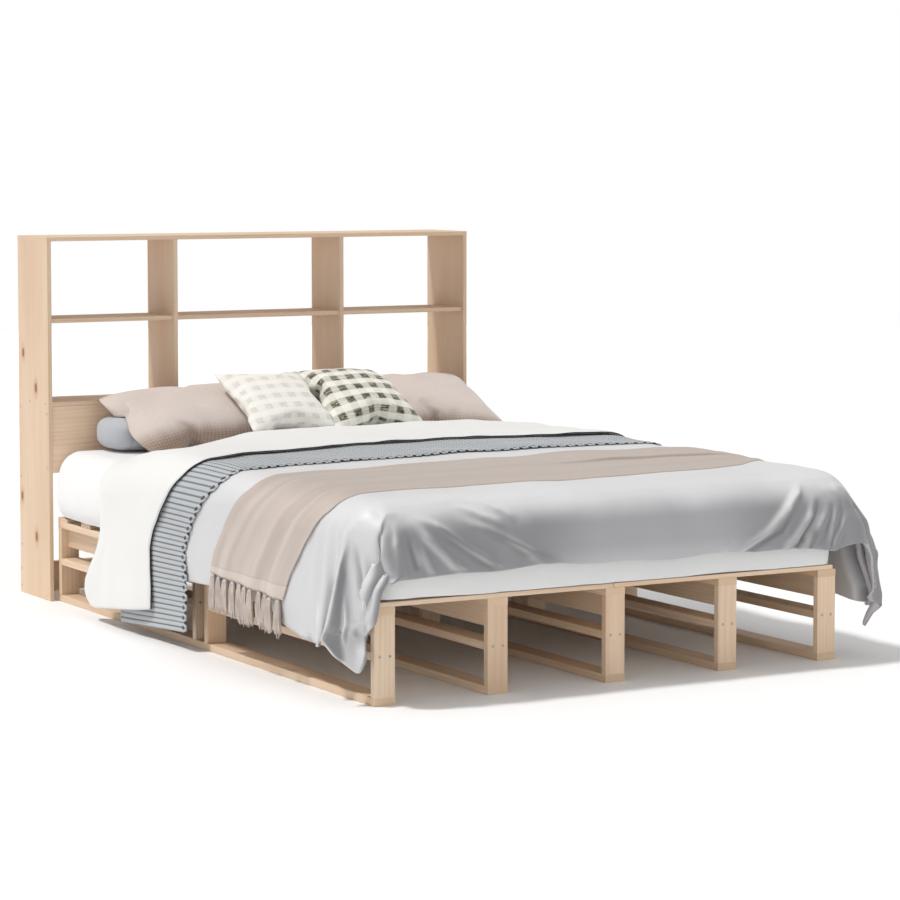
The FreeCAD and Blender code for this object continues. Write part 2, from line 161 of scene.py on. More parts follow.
def pine(name, axis, seed, snap=None, tone=1.0, knots=(), flat=0.17, wide=1.5, knotty=0.38):
    """axis is the grain direction, snap the pitch of the boards in the node across the grain."""
    n = Net(name)
    p = n.obj()
    x, y, z = n.xyz(p)
    along, a, b = {"X": (x, y, z), "Y": (y, x, z), "Z": (z, x, y)}[axis]
    rnd = random.Random(seed)
    if snap:
        cells = []
        for v, (pitch, start) in zip((x, y, z), snap):
            cells.append(n.math("FLOOR", n.math("DIVIDE", n.math("SUBTRACT", v, start), pitch)) if pitch else 0.0)
        cell = n.comb(*cells)
        wn = n.t.nodes.new("ShaderNodeTexWhiteNoise")
        wn.noise_dimensions = "3D"
        n.put(wn.inputs[0], n.vec("ADD", cell, (seed * 1.37, seed * 0.71, 3.1)))
        ra, rb, rc = n.xyz(wn.outputs[1])
    else:
        ra, rb, rc = rnd.random(), rnd.random(), rnd.random()
    # board's own place in the trunk
    a2 = n.math("ADD", a, n.math("MULTIPLY_ADD", ra, 0.30, -0.15) if snap else (ra * 0.30 - 0.15))
    b2 = n.math("ADD", b, n.math("MULTIPLY_ADD", rb, 0.10, 0.05) if snap else (rb * 0.10 + 0.05))
    l2 = n.math("ADD", along, n.math("MULTIPLY", rc, 7.0) if snap else rc * 7.0)
    q = n.comb(a2, b2, l2)
    slow = n.noise(n.vec("MULTIPLY", q, (3.0, 3.0, 0.55)), 1.6, 2.0)
    slow2 = n.noise(n.vec("MULTIPLY", q, (9.0, 9.0, 1.4)), 2.4, 3.0)
    # knots: sparse points along the board
    kv = n.t.nodes.new("ShaderNodeTexVoronoi")
    kv.feature = "F1"
    n.put(kv.inputs["Vector"], n.vec("MULTIPLY", q, (5.5, 5.5, 2.3)))
    kv.inputs["Scale"].default_value = 1.0
    kdist = kv.outputs["Distance"]
    kr = n.xyz(kv.outputs["Color"])[0]
    kon = n.math("GREATER_THAN", kr, 1.0 - knotty)
    kn = n.math("MULTIPLY", n.maprange(kdist, 0.16, 0.035), kon)
    kcore = n.math("MULTIPLY", n.maprange(kdist, 0.062, 0.040), kon)
    for kx, ky, kz, r in knots:
        d = n.vec("DISTANCE", n.vec("MULTIPLY", p, {"X": (0.6, 1, 1), "Y": (1, 0.6, 1), "Z": (1, 1, 0.6)}[axis]),
                  {"X": (kx * 0.6, ky, kz), "Y": (kx, ky * 0.6, kz), "Z": (kx, ky, kz * 0.6)}[axis], out=1)
        kn = n.math("MAXIMUM", kn, n.maprange(d, r * 2.8, r * 0.6))
        kcore = n.math("MAXIMUM", kcore, n.maprange(d, r * 1.05, r * 0.75))
    rr = n.math("SQRT", n.math("ADD", n.math("MULTIPLY", a2, a2), n.math("MULTIPLY", b2, b2)))
    rr = n.math("ADD", rr, n.math("MULTIPLY", slow, 0.034 * wide))
    rr = n.math("ADD", rr, n.math("MULTIPLY", slow2, 0.0045))
    rr = n.math("ADD", rr, n.math("MULTIPLY", kn, 0.010))
    ph = n.math("MULTIPLY", rr, 2 * math.pi / 0.0085)
    ring = n.math("MULTIPLY_ADD", n.math("SINE", ph), 0.5, 0.5)
    ring = n.math("POWER", ring, 2.4)
    fib = n.noise(n.vec("MULTIPLY", q, (900.0, 900.0, 11.0)), 1.0, 2.0, 0.6)
    fib2 = n.noise(n.vec("MULTIPLY", q, (240.0, 240.0, 4.0)), 1.0, 2.0, 0.5)
    patch = n.noise(n.vec("MULTIPLY", q, (6.0, 6.0, 0.9)), 1.0, 2.0)
    base = n.mix(n.maprange(patch, 0.3, 0.7), PINE_LIGHT, PINE_MID)
    base = n.mix(n.math("MULTIPLY", ring, flat), base, PINE_DARK)
    base = n.mix(n.math("MULTIPLY", n.maprange(fib2, 0.42, 0.75), 0.15), base, PINE_DARK)
    base = n.mix(n.math("MULTIPLY", n.maprange(fib, 0.55, 0.8), 0.18), base, srgb(204, 168, 134))
    # heartwood blush
    base = n.mix(n.math("MULTIPLY", n.maprange(n.noise(n.vec("MULTIPLY", q, (7.0, 5.0, 0.7)), 1.3, 1.0), 0.5, 0.72), 0.30), base, srgb(223, 183, 156))
    base = n.mix(n.math("MULTIPLY", kn, 0.55), base, srgb(196, 142, 98))
    base = n.mix(n.math("MULTIPLY", kcore, 0.85), base, srgb(138, 88, 54))
    # end grain: faces across the grain
    nx, ny, nz = n.xyz(n.new("NewGeometry", 1))
    endf = n.maprange(n.math("ABSOLUTE", {"X": nx, "Y": ny, "Z": nz}[axis]), 0.75, 0.95)
    arc = n.math("POWER", n.math("MULTIPLY_ADD", n.math("SINE", n.math("MULTIPLY", rr, 2 * math.pi / 0.0042)), 0.5, 0.5), 1.5)
    endc = n.mix(n.math("MULTIPLY", arc, 0.45), srgb(224, 197, 167), srgb(196, 160, 126))
    base = n.mix(endf, base, endc)
    # per board tone, times the part's tone, which for some parts is painted shade
    tn = n.math("MULTIPLY_ADD", ra, 0.16, 0.93 * tone) if snap else (ra * 0.10 + 0.96) * tone
    hsv = n.t.nodes.new("ShaderNodeHueSaturation")
    n.put(hsv.inputs["Value"], tn)
    hsv.inputs["Saturation"].default_value = 1.0
    n.put(hsv.inputs["Color"], base)
    h = n.math("ADD", n.math("MULTIPLY", ring, 0.5), n.math("MULTIPLY", fib, 0.6))
    h = n.math("SUBTRACT", h, n.math("MULTIPLY", kcore, 0.5))
    rough = n.math("MULTIPLY_ADD", fib2, 0.14, 0.50)
    return n.surf(hsv.outputs[0], rough, n.bump(h, 0.22, 0.0006), Specular_IOR_Level=0.35)


def assign(node, mat):
    o = NODES[node]
    me = o.data
    if len(me.materials) == 0:
        me.materials.append(mat)
    for s in o.material_slots:
        s.material = mat


def metal(name, col, rough):
    n = Net(name)
    p = n.obj()
    a = n.noise(p, 900.0, 3.0)
    b = n.noise(p, 90.0, 2.0)
    c = n.mix(n.maprange(b, 0.35, 0.7), col, tuple(v * 0.72 for v in col))
    return n.surf(c, n.math("MULTIPLY_ADD", a, 0.22, rough), n.bump(a, 0.25, 0.0003), Metallic=1.0)


SCREW = metal("zinc_screw", srgb(176, 172, 162), 0.32)
for nm in ("frame_screws", "slat_screws", "bookcase_screws", "batten_screws"):
    assign(nm, SCREW)

Y0 = -OY
FX = (0.0, 321.5, 671.0, 1020.5, 1342.0)
# mid rails and web boards get darker tones (0.90, 0.92): painted shade for the parts inside the base
for i in range(1, 6):
    assign("bottom_rail_%d" % i, pine("pine_bottom_rail_%d" % i, "Y", 10 + i, tone=0.97))
    assign("top_rail_%d" % i, pine("pine_top_rail_%d" % i, "Y", 20 + i))
    assign("mid_rails_%d" % i, pine("pine_mid_rails_%d" % i, "Y", 30 + i, snap=((0, 0), (1.04, Y0), (0, 0)), tone=0.90))
    assign("web_boards_%d" % i, pine("pine_web_boards_%d" % i, "Y", 40 + i, snap=((0, 0), (1.04, Y0), (0, 0)), tone=0.92))
    assign("posts_%d" % i, pine("pine_posts_%d" % i, "Z", 50 + i, snap=((0, 0), (0.505, Y0 - 0.002), (0, 0))))
pitch = (2005.0 - 68.0) / 11 / 1000.0
for nm, sd in (("slats_left", 61), ("slats_right", 62)):
    assign(nm, pine("pine_" + nm, "X", sd, snap=((0, 0), (pitch, Y0 - 0.03), (0, 0)), tone=1.02))
assign("side_panel_left", pine("pine_side_panel_left", "Z", 71, tone=0.97, flat=0.20, knotty=0.0, knots=(
    (row(-28, 0, 0)[0], row(0, 2206, 0)[1], 0.742, 0.009), (row(-28, 0, 0)[0], row(0, 2106, 0)[1], 0.640, 0.010),
    (row(-28, 0, 0)[0], row(0, 2224, 0)[1], 0.300, 0.009), (row(-28, 0, 0)[0], row(0, 2110, 0)[1], 0.185, 0.010))))
# side_panel_right, the dividers, the shelves and the rear stretcher get darker tones (0.86 to 0.94): painted shade for
# the bookcase's inner parts
assign("side_panel_right", pine("pine_side_panel_right", "Z", 72, tone=0.91))
assign("top_board", pine("pine_top_board", "X", 73, tone=0.99))
assign("divider_left", pine("pine_divider_left", "Z", 74, tone=0.86))
assign("divider_right", pine("pine_divider_right", "Z", 75, tone=0.88))
for k, nm in enumerate(("middle_shelf_left", "middle_shelf_centre", "middle_shelf_right", "lower_shelf",
                        "backboard_lower", "backboard_upper", "rear_stretcher")):
    assign(nm, pine("pine_" + nm, "X", 80 + k, knotty=0.22, tone=1.10 if nm.startswith("backboard") else 0.94))
for k, nm in enumerate(("rear_batten_left", "rear_batten_right")):
    assign(nm, pine("pine_" + nm, "Z", 90 + k))
assign("backboard_battens", pine("pine_backboard_battens", "Z", 93, snap=((0.5, -0.9), (0, 0), (0, 0))))
assign("shelf_dowels", pine("beech_dowels", "X", 95, tone=0.93, knotty=0.0, flat=0.12))


# ---------------------------------------------------------------------------
# cloth materials
# ---------------------------------------------------------------------------
def weave_height(n, vec, pitch, axes=("x", "y")):
    x, y, z = n.xyz(vec)
    c = dict(x=x, y=y, z=z)
    f = 2 * math.pi / pitch
    u = n.math("SINE", n.math("MULTIPLY", c[axes[0]], f))
    v = n.math("SINE", n.math("MULTIPLY", c[axes[1]], f))
    return n.math("MULTIPLY_ADD", n.math("MULTIPLY", u, v), 0.5, 0.5)


def cloth(name, light, dark, rough=0.8, pitch=0.0011, uv=True, sheen=0.25, var=0.35, bump=0.25, spec=0.25, coat=0.0, creases=0.0, mottle=2.5):
    n = Net(name)
    p = n.uv() if uv else n.obj()
    o = n.obj()
    w = weave_height(n, p, pitch)
    big = n.noise(o, mottle, 3.0)
    fine = n.noise(o, 320.0, 2.0)
    col = n.mix(n.math("MULTIPLY", n.maprange(big, 0.35, 0.68), var), light, dark)
    col = n.mix(n.math("MULTIPLY", n.maprange(fine, 0.5, 0.8), 0.12), col, dark)
    col = n.mix(n.math("MULTIPLY", n.math("SUBTRACT", 1.0, w), 0.10), col, dark)
    h = n.math("ADD", n.math("MULTIPLY", w, 0.5), n.math("MULTIPLY", fine, 0.35))
    nb = n.bump(h, bump, 0.0004)
    if creases:
        cr = n.noise(n.vec("MULTIPLY", o, (5.0, 5.0, 5.0)), 1.0, 4.0, 0.55, 1.2)
        nb = n.bump(cr, creases, 0.012, nb)
    r = n.math("MULTIPLY_ADD", fine, 0.10, rough - 0.05)
    return n.surf(col, r, nb, Sheen_Weight=sheen, Sheen_Roughness=0.5, Specular_IOR_Level=spec, Coat_Weight=coat, Coat_Roughness=0.45)


M_TICK = cloth("mattress_ticking", srgb(232, 231, 226), srgb(206, 206, 202), pitch=0.004, uv=False)
M_SHEET = cloth("sheet_white", srgb(237, 237, 237), srgb(224, 225, 226), uv=False, creases=0.10, var=0.25)
M_WHITE = cloth("cotton_white", srgb(230, 230, 228), srgb(220, 220, 218), uv=False, creases=0.06, var=0.2)


def satin_mat():
    """Grey satin with painted light and shade: painted paler where it faces up or to the near side, painted shade where
    it turns to the foot and the far side, painted highlights on the fold crests and painted shade in the fold grooves.
    """
    n = Net("satin_grey")
    o = n.obj()
    nx, ny, nz = n.xyz(n.new("NewGeometry", 1))
    # painted shade mask: grows as the surface turns to the foot and the far side and away from the top
    facing_shade = n.math("ADD", n.math("MULTIPLY", ny, -0.90), n.math("MULTIPLY", nx, 0.42))
    facing_shade = n.math("SUBTRACT", facing_shade, n.math("MULTIPLY", n.math("MAXIMUM", nz, 0.0), 0.35))
    streak = n.noise(n.vec("MULTIPLY", o, (6.0, 6.0, 3.0)), 1.0, 3.0, 0.5, 0.6)
    facing_shade = n.math("ADD", facing_shade, n.math("MULTIPLY_ADD", streak, 0.30, -0.15))
    big = n.noise(o, 2.0, 3.0)
    fine = n.noise(o, 320.0, 2.0)
    w = weave_height(n, o, 0.0009)
    col = n.mix(n.math("MULTIPLY", n.maprange(big, 0.35, 0.68), 0.5), srgb(219, 219, 220), srgb(208, 208, 210))
    # painted shade on the steep sides
    side = n.maprange(n.math("ABSOLUTE", nz), 0.75, 0.15)
    col = n.mix(n.math("MULTIPLY", side, 0.8), col, srgb(203, 203, 205))
    # the painted shade is deepest towards both ends of the foot, lighter in its middle, and lighter again near the hem
    ox, oy, oz = n.xyz(o)
    mid = n.maprange(n.math("ABSOLUTE", n.math("SUBTRACT", ox, 0.10)), 0.42, 0.16)
    shade_grey = n.mix(mid, srgb(138, 138, 141), srgb(166, 166, 170))
    low = n.maprange(oz, 0.370, 0.318)
    shade_grey = n.mix(n.math("MULTIPLY", low, n.math("MULTIPLY", mid, 0.55)), shade_grey, srgb(196, 196, 199))
    # painted shade mixed in by facing direction
    col = n.mix(n.maprange(facing_shade, 0.14, 0.98), col, shade_grey)
    # painted highlight on the fold crests and painted shade in the fold grooves, read from a point attribute
    at = n.t.nodes.new("ShaderNodeAttribute")
    at.attribute_type = "GEOMETRY"
    at.attribute_name = "painted_fold_light_shade"
    fold_light_shade = at.outputs["Fac"]
    col = n.mix(n.math("MULTIPLY", n.math("MAXIMUM", fold_light_shade, 0.0), 0.95), col, srgb(252, 252, 253))
    col = n.mix(n.math("MULTIPLY", n.math("MAXIMUM", n.math("MULTIPLY", fold_light_shade, -1.0), 0.0), 0.72), col, srgb(98, 98, 99))
    col = n.mix(n.math("MULTIPLY", n.maprange(fine, 0.5, 0.8), 0.10), col, srgb(150, 150, 152))
    h = n.math("ADD", n.math("MULTIPLY", w, 0.5), n.math("MULTIPLY", fine, 0.35))
    nb = n.bump(h, 0.10, 0.0004)
    cr = n.noise(n.vec("MULTIPLY", o, (5.0, 5.0, 5.0)), 1.0, 4.0, 0.55, 1.2)
    nb = n.bump(cr, 0.06, 0.012, nb)
    r = n.math("MULTIPLY_ADD", fine, 0.10, 0.37)
    return n.surf(col, r, nb, Sheen_Weight=0.10, Sheen_Roughness=0.5, Specular_IOR_Level=0.34)


M_SATIN = satin_mat()
M_BLUEP = cloth("cotton_grey_blue", srgb(181, 184, 190), srgb(160, 164, 171), uv=False, creases=0.12)
M_PIPE = cloth("black_piping", srgb(34, 33, 34), srgb(22, 22, 24), uv=False, pitch=0.003, var=0.5)
M_FRINGE = cloth("fringe_yarn", srgb(206, 193, 184), srgb(170, 155, 146), uv=False, pitch=0.004, var=0.6, bump=0.6, mottle=30.0)


def blanket_mat():
    n = Net("wool_taupe")
    uv = n.uv()
    u, v, _ = n.xyz(uv)
    o = n.obj()
    light, dark = srgb(198, 185, 176), srgb(174, 159, 150)
    st = n.noise(n.comb(n.math("MULTIPLY", u, 0.35), n.math("MULTIPLY", v, 11.0), 0.0), 1.0, 2.0)
    col = n.mix(n.math("MULTIPLY", n.maprange(st, 0.38, 0.66), 0.65), light, dark)
    tw = n.math("SINE", n.math("MULTIPLY", n.math("ADD", n.math("MULTIPLY", u, 0.7), v), 2 * math.pi / 0.0024))
    tw = n.math("MULTIPLY_ADD", tw, 0.5, 0.5)
    fz = n.noise(o, 420.0, 3.0)
    col = n.mix(n.math("MULTIPLY", tw, 0.14), col, dark)
    col = n.mix(n.math("MULTIPLY", n.maprange(fz, 0.5, 0.8), 0.2), col, srgb(212, 201, 194))
    # plain woven band above the fringe
    band = n.maprange(u, 0.040, 0.036)
    col = n.mix(n.math("MULTIPLY", band, 0.6), col, srgb(210, 198, 189))
    line = n.maprange(n.math("ABSOLUTE", n.math("SUBTRACT", u, 0.040)), 0.0016, 0.0006)
    col = n.mix(n.math("MULTIPLY", line, 0.4), col, srgb(160, 143, 134))
    # painted shade: faces that look up are painted darker
    top_shade = n.maprange(n.xyz(n.new("NewGeometry", 1))[2], 0.55, 0.97)
    col = n.mix(n.math("MULTIPLY", top_shade, 0.55), col, srgb(172, 158, 147))
    # painted shade under the lip of the folded-over end, read from a point attribute
    at = n.t.nodes.new("ShaderNodeAttribute")
    at.attribute_type = "GEOMETRY"
    at.attribute_name = "painted_fold_light_shade"
    col = n.mix(n.math("MULTIPLY", n.math("MAXIMUM", at.outputs["Fac"], 0.0), 0.85), col, srgb(112, 97, 87))
    h = n.math("ADD", n.math("MULTIPLY", tw, 0.5), n.math("MULTIPLY", fz, 0.7))
    return n.surf(col, 0.88, n.bump(h, 0.35, 0.0007), Sheen_Weight=0.35, Sheen_Roughness=0.5, Specular_IOR_Level=0.2)


RIB = 0.0151


def throw_mat():
    """Serpentine knitted tape: dotted dark thread in the valleys, a dark eye in every loop."""
    n = Net("rib_grey_blue")
    s, w, _ = n.xyz(n.uv())
    o = n.obj()
    light, mid = srgb(182, 186, 189), srgb(155, 160, 165)
    fs = n.math("DIVIDE", s, RIB)
    fr = n.math("FRACT", n.math("ADD", fs, 0.5))
    dv = n.math("MULTIPLY", n.math("ABSOLUTE", n.math("SUBTRACT", fr, 0.5)), RIB)      # to the nearest valley
    valley = n.maprange(dv, 0.0030, 0.0016)
    ws = n.math("SINE", n.math("MULTIPLY_ADD", w, 2 * math.pi / 0.0150, n.math("MULTIPLY", n.math("FLOOR", n.math("DIVIDE", s, RIB)), 2.1)))
    dash = n.maprange(ws, -0.05, 0.25)
    # pair index: valley inside a pair ends at the loop's centre
    pr = n.math("FRACT", n.math("DIVIDE", s, 2 * RIB))
    inpair = n.math("LESS_THAN", n.math("ABSOLUTE", n.math("SUBTRACT", pr, 0.5)), 0.25)
    inside = n.maprange(w, RIB * 0.9, RIB * 1.2)
    far = n.maprange(w, 0.002, 0.006)
    reach = n.math("MAXIMUM", n.math("MULTIPLY", inpair, inside), n.math("MULTIPLY", n.math("SUBTRACT", 1.0, inpair), far))
    between = n.math("SUBTRACT", 1.0, inpair)
    line = n.math("ADD", n.math("MULTIPLY", inpair, n.math("MULTIPLY_ADD", dash, 0.86, 0.14)), n.math("MULTIPLY", between, n.math("MULTIPLY_ADD", dash, 0.60, 0.08)))
    black = n.math("MULTIPLY", n.math("MULTIPLY", valley, reach), line)
    notch = n.math("MULTIPLY", between, n.math("MULTIPLY", n.maprange(n.math("ADD", dv, n.math("MULTIPLY", w, 0.35)), 0.0080, 0.0060), n.maprange(w, 0.0180, 0.0120)))
    black = n.math("MAXIMUM", black, notch)
    ec = n.math("MULTIPLY", n.math("SUBTRACT", pr, 0.5), 2 * RIB)
    ew = n.math("SUBTRACT", w, RIB * 1.15)
    er = n.math("SQRT", n.math("ADD", n.math("MULTIPLY", ec, ec), n.math("MULTIPLY", n.math("MULTIPLY", ew, ew), 0.35)))
    eye = n.maprange(er, 0.0068, 0.0050)
    black = n.math("MAXIMUM", black, eye)
    kn = n.math("MULTIPLY_ADD", n.math("SINE", n.math("MULTIPLY", w, 2 * math.pi / 0.0029)), 0.5, 0.5)
    fz = n.noise(o, 500.0, 3.0)
    col = n.mix(n.math("MULTIPLY", kn, 0.28), light, mid)
    col = n.mix(n.math("MULTIPLY", n.maprange(fz, 0.45, 0.8), 0.3), col, srgb(202, 206, 208))
    # painted shade: the valleys between the ribs are painted darker
    col = n.mix(n.math("MULTIPLY", n.maprange(dv, 0.0036, 0.0012), 0.7), col, srgb(136, 141, 149))
    col = n.mix(n.math("MULTIPLY", black, 0.96), col, srgb(26, 27, 31))
    h = n.math("ADD", n.math("MULTIPLY", kn, 0.6), n.math("MULTIPLY", fz, 0.5))
    return n.surf(col, 0.85, n.bump(h, 0.5, 0.0008), Sheen_Weight=0.25, Sheen_Roughness=0.5, Specular_IOR_Level=0.2)


def linen_mat(name="linen_taupe"):
    """Taupe linen with a coarser waffle border near the front edge."""
    n = Net(name)
    u, v, _ = n.xyz(n.uv())
    o = n.obj()
    light, dark = srgb(212, 200, 193), srgb(190, 177, 169)
    sl = n.noise(n.comb(n.math("MULTIPLY", u, 60.0), n.math("MULTIPLY", v, 700.0), 0.0), 1.0, 2.0)
    sl2 = n.noise(n.comb(n.math("MULTIPLY", u, 700.0), n.math("MULTIPLY", v, 60.0), 0.0), 1.0, 2.0)
    big = n.noise(o, 5.0, 3.0)
    col = n.mix(n.math("MULTIPLY", n.maprange(big, 0.35, 0.7), 0.45), light, dark)
    col = n.mix(n.math("MULTIPLY", n.maprange(n.math("ADD", sl, sl2), 0.9, 1.25), 0.35), col, dark)
    # waffle border
    gu = n.math("ABSOLUTE", n.math("SINE", n.math("MULTIPLY", u, math.pi / 0.0115)))
    gv = n.math("ABSOLUTE", n.math("SINE", n.math("MULTIPLY", v, math.pi / 0.0115)))
    waf = n.math("MAXIMUM", n.maprange(gu, 0.42, 0.10), n.maprange(gv, 0.42, 0.10))
    edge = n.noise(n.comb(n.math("MULTIPLY", u, 25.0), 0.0, 0.0), 1.0, 2.0)
    band = n.maprange(n.math("ADD", v, n.math("MULTIPLY", edge, 0.03)), 0.120, 0.045)
    wcol = n.mix(waf, srgb(160, 136, 118), srgb(112, 86, 68))
    col = n.mix(n.math("MULTIPLY", band, 0.85), col, wcol)
    h = n.math("ADD", n.math("MULTIPLY", sl, 0.4), n.math("MULTIPLY", sl2, 0.4))
    h = n.math("SUBTRACT", h, n.math("MULTIPLY", n.math("MULTIPLY", waf, band), 1.4))
    nb = n.bump(h, 0.35, 0.0008)
    cr = n.noise(n.vec("MULTIPLY", o, (9.0, 9.0, 9.0)), 1.0, 4.0, 0.55, 1.0)
    return n.surf(col, 0.86, n.bump(cr, 0.12, 0.010, nb), Sheen_Weight=0.3, Sheen_Roughness=0.5, Specular_IOR_Level=0.2)


def check_mat(name, ground, c1, c2, c3, pitch, strength):
    """Plain gingham of broken yarn squares on a cream ground."""
    n = Net(name)
    u, v, _ = n.xyz(n.uv())
    o = n.obj()
    wob = n.noise(o, 34.0, 3.0)
    uu = n.math("ADD", u, n.math("MULTIPLY", wob, pitch * 0.22))
    vv = n.math("ADD", v, n.math("MULTIPLY", wob, pitch * 0.20))
    pu = n.math("PINGPONG", uu, pitch / 2)
    pv = n.math("PINGPONG", vv, pitch / 2)
    bu = n.maprange(pu, pitch * 0.29, pitch * 0.21)
    bv = n.maprange(pv, pitch * 0.27, pitch * 0.19)
    both = n.math("MULTIPLY", bu, bv)
    cu = n.math("FLOOR", n.math("DIVIDE", uu, pitch))
    cv = n.math("FLOOR", n.math("DIVIDE", vv, pitch))
    wn = n.t.nodes.new("ShaderNodeTexWhiteNoise")
    wn.noise_dimensions = "2D"
    n.put(wn.inputs[0], n.comb(cu, cv, 0.0))
    yarn = n.noise(n.comb(n.math("MULTIPLY", u, 90.0), n.math("MULTIPLY", v, 900.0), 0.0), 1.0, 2.0)
    yarn2 = n.noise(n.comb(n.math("MULTIPLY", u, 900.0), n.math("MULTIPLY", v, 90.0), 0.0), 1.0, 2.0)
    brk = n.math("MULTIPLY", n.maprange(n.noise(o, 190.0, 2.0), 0.24, 0.42), n.maprange(n.noise(n.comb(n.math("MULTIPLY", u, 22.0), n.math("MULTIPLY", v, 170.0), 0.0), 1.0, 2.0), 0.30, 0.50, 0.35, 1.0))
    col = n.mix(n.math("MULTIPLY", n.maprange(yarn, 0.4, 0.7), 0.25), ground, srgb(214, 208, 196))
    col = n.mix(n.math("MULTIPLY", n.math("MULTIPLY", bu, brk), 0.30 * strength), col, c2)
    col = n.mix(n.math("MULTIPLY", n.math("MULTIPLY", bv, brk), 0.42 * strength), col, c1)
    dk = n.mix(wn.outputs[0], c1, c3)
    col = n.mix(n.math("MULTIPLY", n.math("MULTIPLY", both, brk), 0.95 * strength), col, dk)
    gap = n.maprange(n.math("ABSOLUTE", n.math("SUBTRACT", pv, pitch * 0.25)), pitch * 0.04, pitch * 0.015)
    col = n.mix(n.math("MULTIPLY", n.math("MULTIPLY", gap, n.maprange(yarn2, 0.45, 0.6)), 0.55 * strength), col, c3)
    h = n.math("ADD", n.math("MULTIPLY", yarn, 0.5), n.math("MULTIPLY", yarn2, 0.5))
    h = n.math("ADD", h, n.math("MULTIPLY", both, 0.8))
    return n.surf(col, 0.88, n.bump(h, 0.45, 0.0010), Sheen_Weight=0.25, Sheen_Roughness=0.5, Specular_IOR_Level=0.2)


M_BLANKET = blanket_mat()
M_THROW = throw_mat()
M_LINEN = linen_mat()
M_CHK_L = check_mat("check_light", srgb(239, 237, 231), srgb(206, 204, 197), srgb(220, 218, 211), srgb(190, 187, 178), 0.046, 0.55)
M_CHK_D = check_mat("check_dark", srgb(238, 236, 227), srgb(112, 106, 84), srgb(186, 182, 162), srgb(44, 41, 32), 0.050, 1.0)


# ---------------------------------------------------------------------------
# mesh helpers
# ---------------------------------------------------------------------------
COL = bpy.context.scene.collection


def make(name, verts, faces, mat, uv=None, smooth=True):
    me = bpy.data.meshes.new(name)
    me.from_pydata([tuple(v) for v in verts], [], [tuple(int(i) for i in f) for f in faces])
    if uv is not None:
        layer = me.uv_layers.new(name="UVMap")
        idx = np.empty(len(me.loops), np.int32)
        me.loops.foreach_get("vertex_index", idx)
        layer.data.foreach_set("uv", np.asarray(uv, np.float32)[idx].ravel())
    if smooth:
        me.polygons.foreach_set("use_smooth", [True] * len(me.polygons))
    me.update()
    o = bpy.data.objects.new(name, me)
    COL.objects.link(o)
    if mat is not None:
        me.materials.append(mat)
    return o


def quads(nu, nv, base=0, flip=False):
    """Faces of a grid of nu x nv points, index = i * nv + j."""
    i, j = np.meshgrid(np.arange(nu - 1), np.arange(nv - 1), indexing="ij")
    a = (i * nv + j).ravel() + base
    f = np.stack([a, a + nv, a + nv + 1, a + 1], 1)
    return f[:, ::-1] if flip else f


def rim(nu, nv):
    top = [(i, 0) for i in range(nu)] + [(nu - 1, j) for j in range(1, nv)]
    top += [(i, nv - 1) for i in range(nu - 2, -1, -1)] + [(0, j) for j in range(nv - 2, 0, -1)]
    return np.array([i * nv + j for i, j in top])


def shell(name, outer, inner, mat, uv=None, flip=False):
    """Closed body from two grids of the same size."""
    nu, nv = outer.shape[:2]
    n = nu * nv
    f = [quads(nu, nv, 0, flip), quads(nu, nv, n, not flip)]
    r = rim(nu, nv)
    r2 = np.roll(r, -1)
    side = np.stack([r, r + n, r2 + n, r2], 1)
    f.append(side[:, ::-1] if flip else side)
    v = np.concatenate([outer.reshape(-1, 3), inner.reshape(-1, 3)])
    if uv is not None:
        uv = np.concatenate([uv.reshape(-1, 2)] * 2)
    return make(name, v, np.concatenate(f), mat, uv)


def waves(p, scale, seed, n=7):
    """Smooth random field of unit-ish size over points, from a few seeded sine waves."""
    r = np.random.RandomState(seed)
    out = np.zeros(p.shape[:-1])
    for k in range(n):
        d = r.normal(size=p.shape[-1])
        d /= np.linalg.norm(d)
        out += np.sin((p @ d) * (2 * math.pi / scale) * r.uniform(0.6, 1.5) + r.uniform(0, 6.28))
    return out / math.sqrt(n)


def blur(a, k=2, times=2):
    for _ in range(times):
        for ax in (0, 1):
            b = a.copy()
            for s in range(1, k + 1):
                b = b + np.take(a, np.clip(np.arange(a.shape[ax]) + s, 0, a.shape[ax] - 1), ax)
                b = b + np.take(a, np.clip(np.arange(a.shape[ax]) - s, 0, a.shape[ax] - 1), ax)
            a = b / (2 * k + 1)
    return a


def grid_normals(g):
    du = np.gradient(g, axis=0)
    dv = np.gradient(g, axis=1)
    n = np.cross(du, dv)
    return n / np.maximum(np.linalg.norm(n, axis=-1, keepdims=True), 1e-9)


def seg_dist(p, a, b):
    ab = b - a
    t = np.clip(((p - a) @ ab) / max(float(ab @ ab), 1e-12), 0, 1)
    d = np.linalg.norm(p - (a + t[..., None] * ab), axis=-1)
    return d, t


def stroke(p, pts, width, amp, ends=(0.25, 0.25)):
    """Height of a soft fold along a polyline, tapering at both ends."""
    pts = np.asarray(pts, float)
    seg = np.linalg.norm(np.diff(pts, axis=0), axis=1)
    tot = seg.sum()
    best = np.full(p.shape[:-1], 1e9)
    pos = np.zeros(p.shape[:-1])
    run = 0.0
    for k in range(len(pts) - 1):
        d, t = seg_dist(p, pts[k], pts[k + 1])
        m = d < best
        best = np.where(m, d, best)
        pos = np.where(m, (run + t * seg[k]) / tot, pos)
        run += seg[k]
    a = np.clip(pos / max(ends[0], 1e-3), 0, 1)
    b = np.clip((1 - pos) / max(ends[1], 1e-3), 0, 1)
    env = a * a * (3 - 2 * a) * b * b * (3 - 2 * b)
    env = np.maximum(env, 0.0)
    return amp * env * np.exp(-(best / width) ** 2)


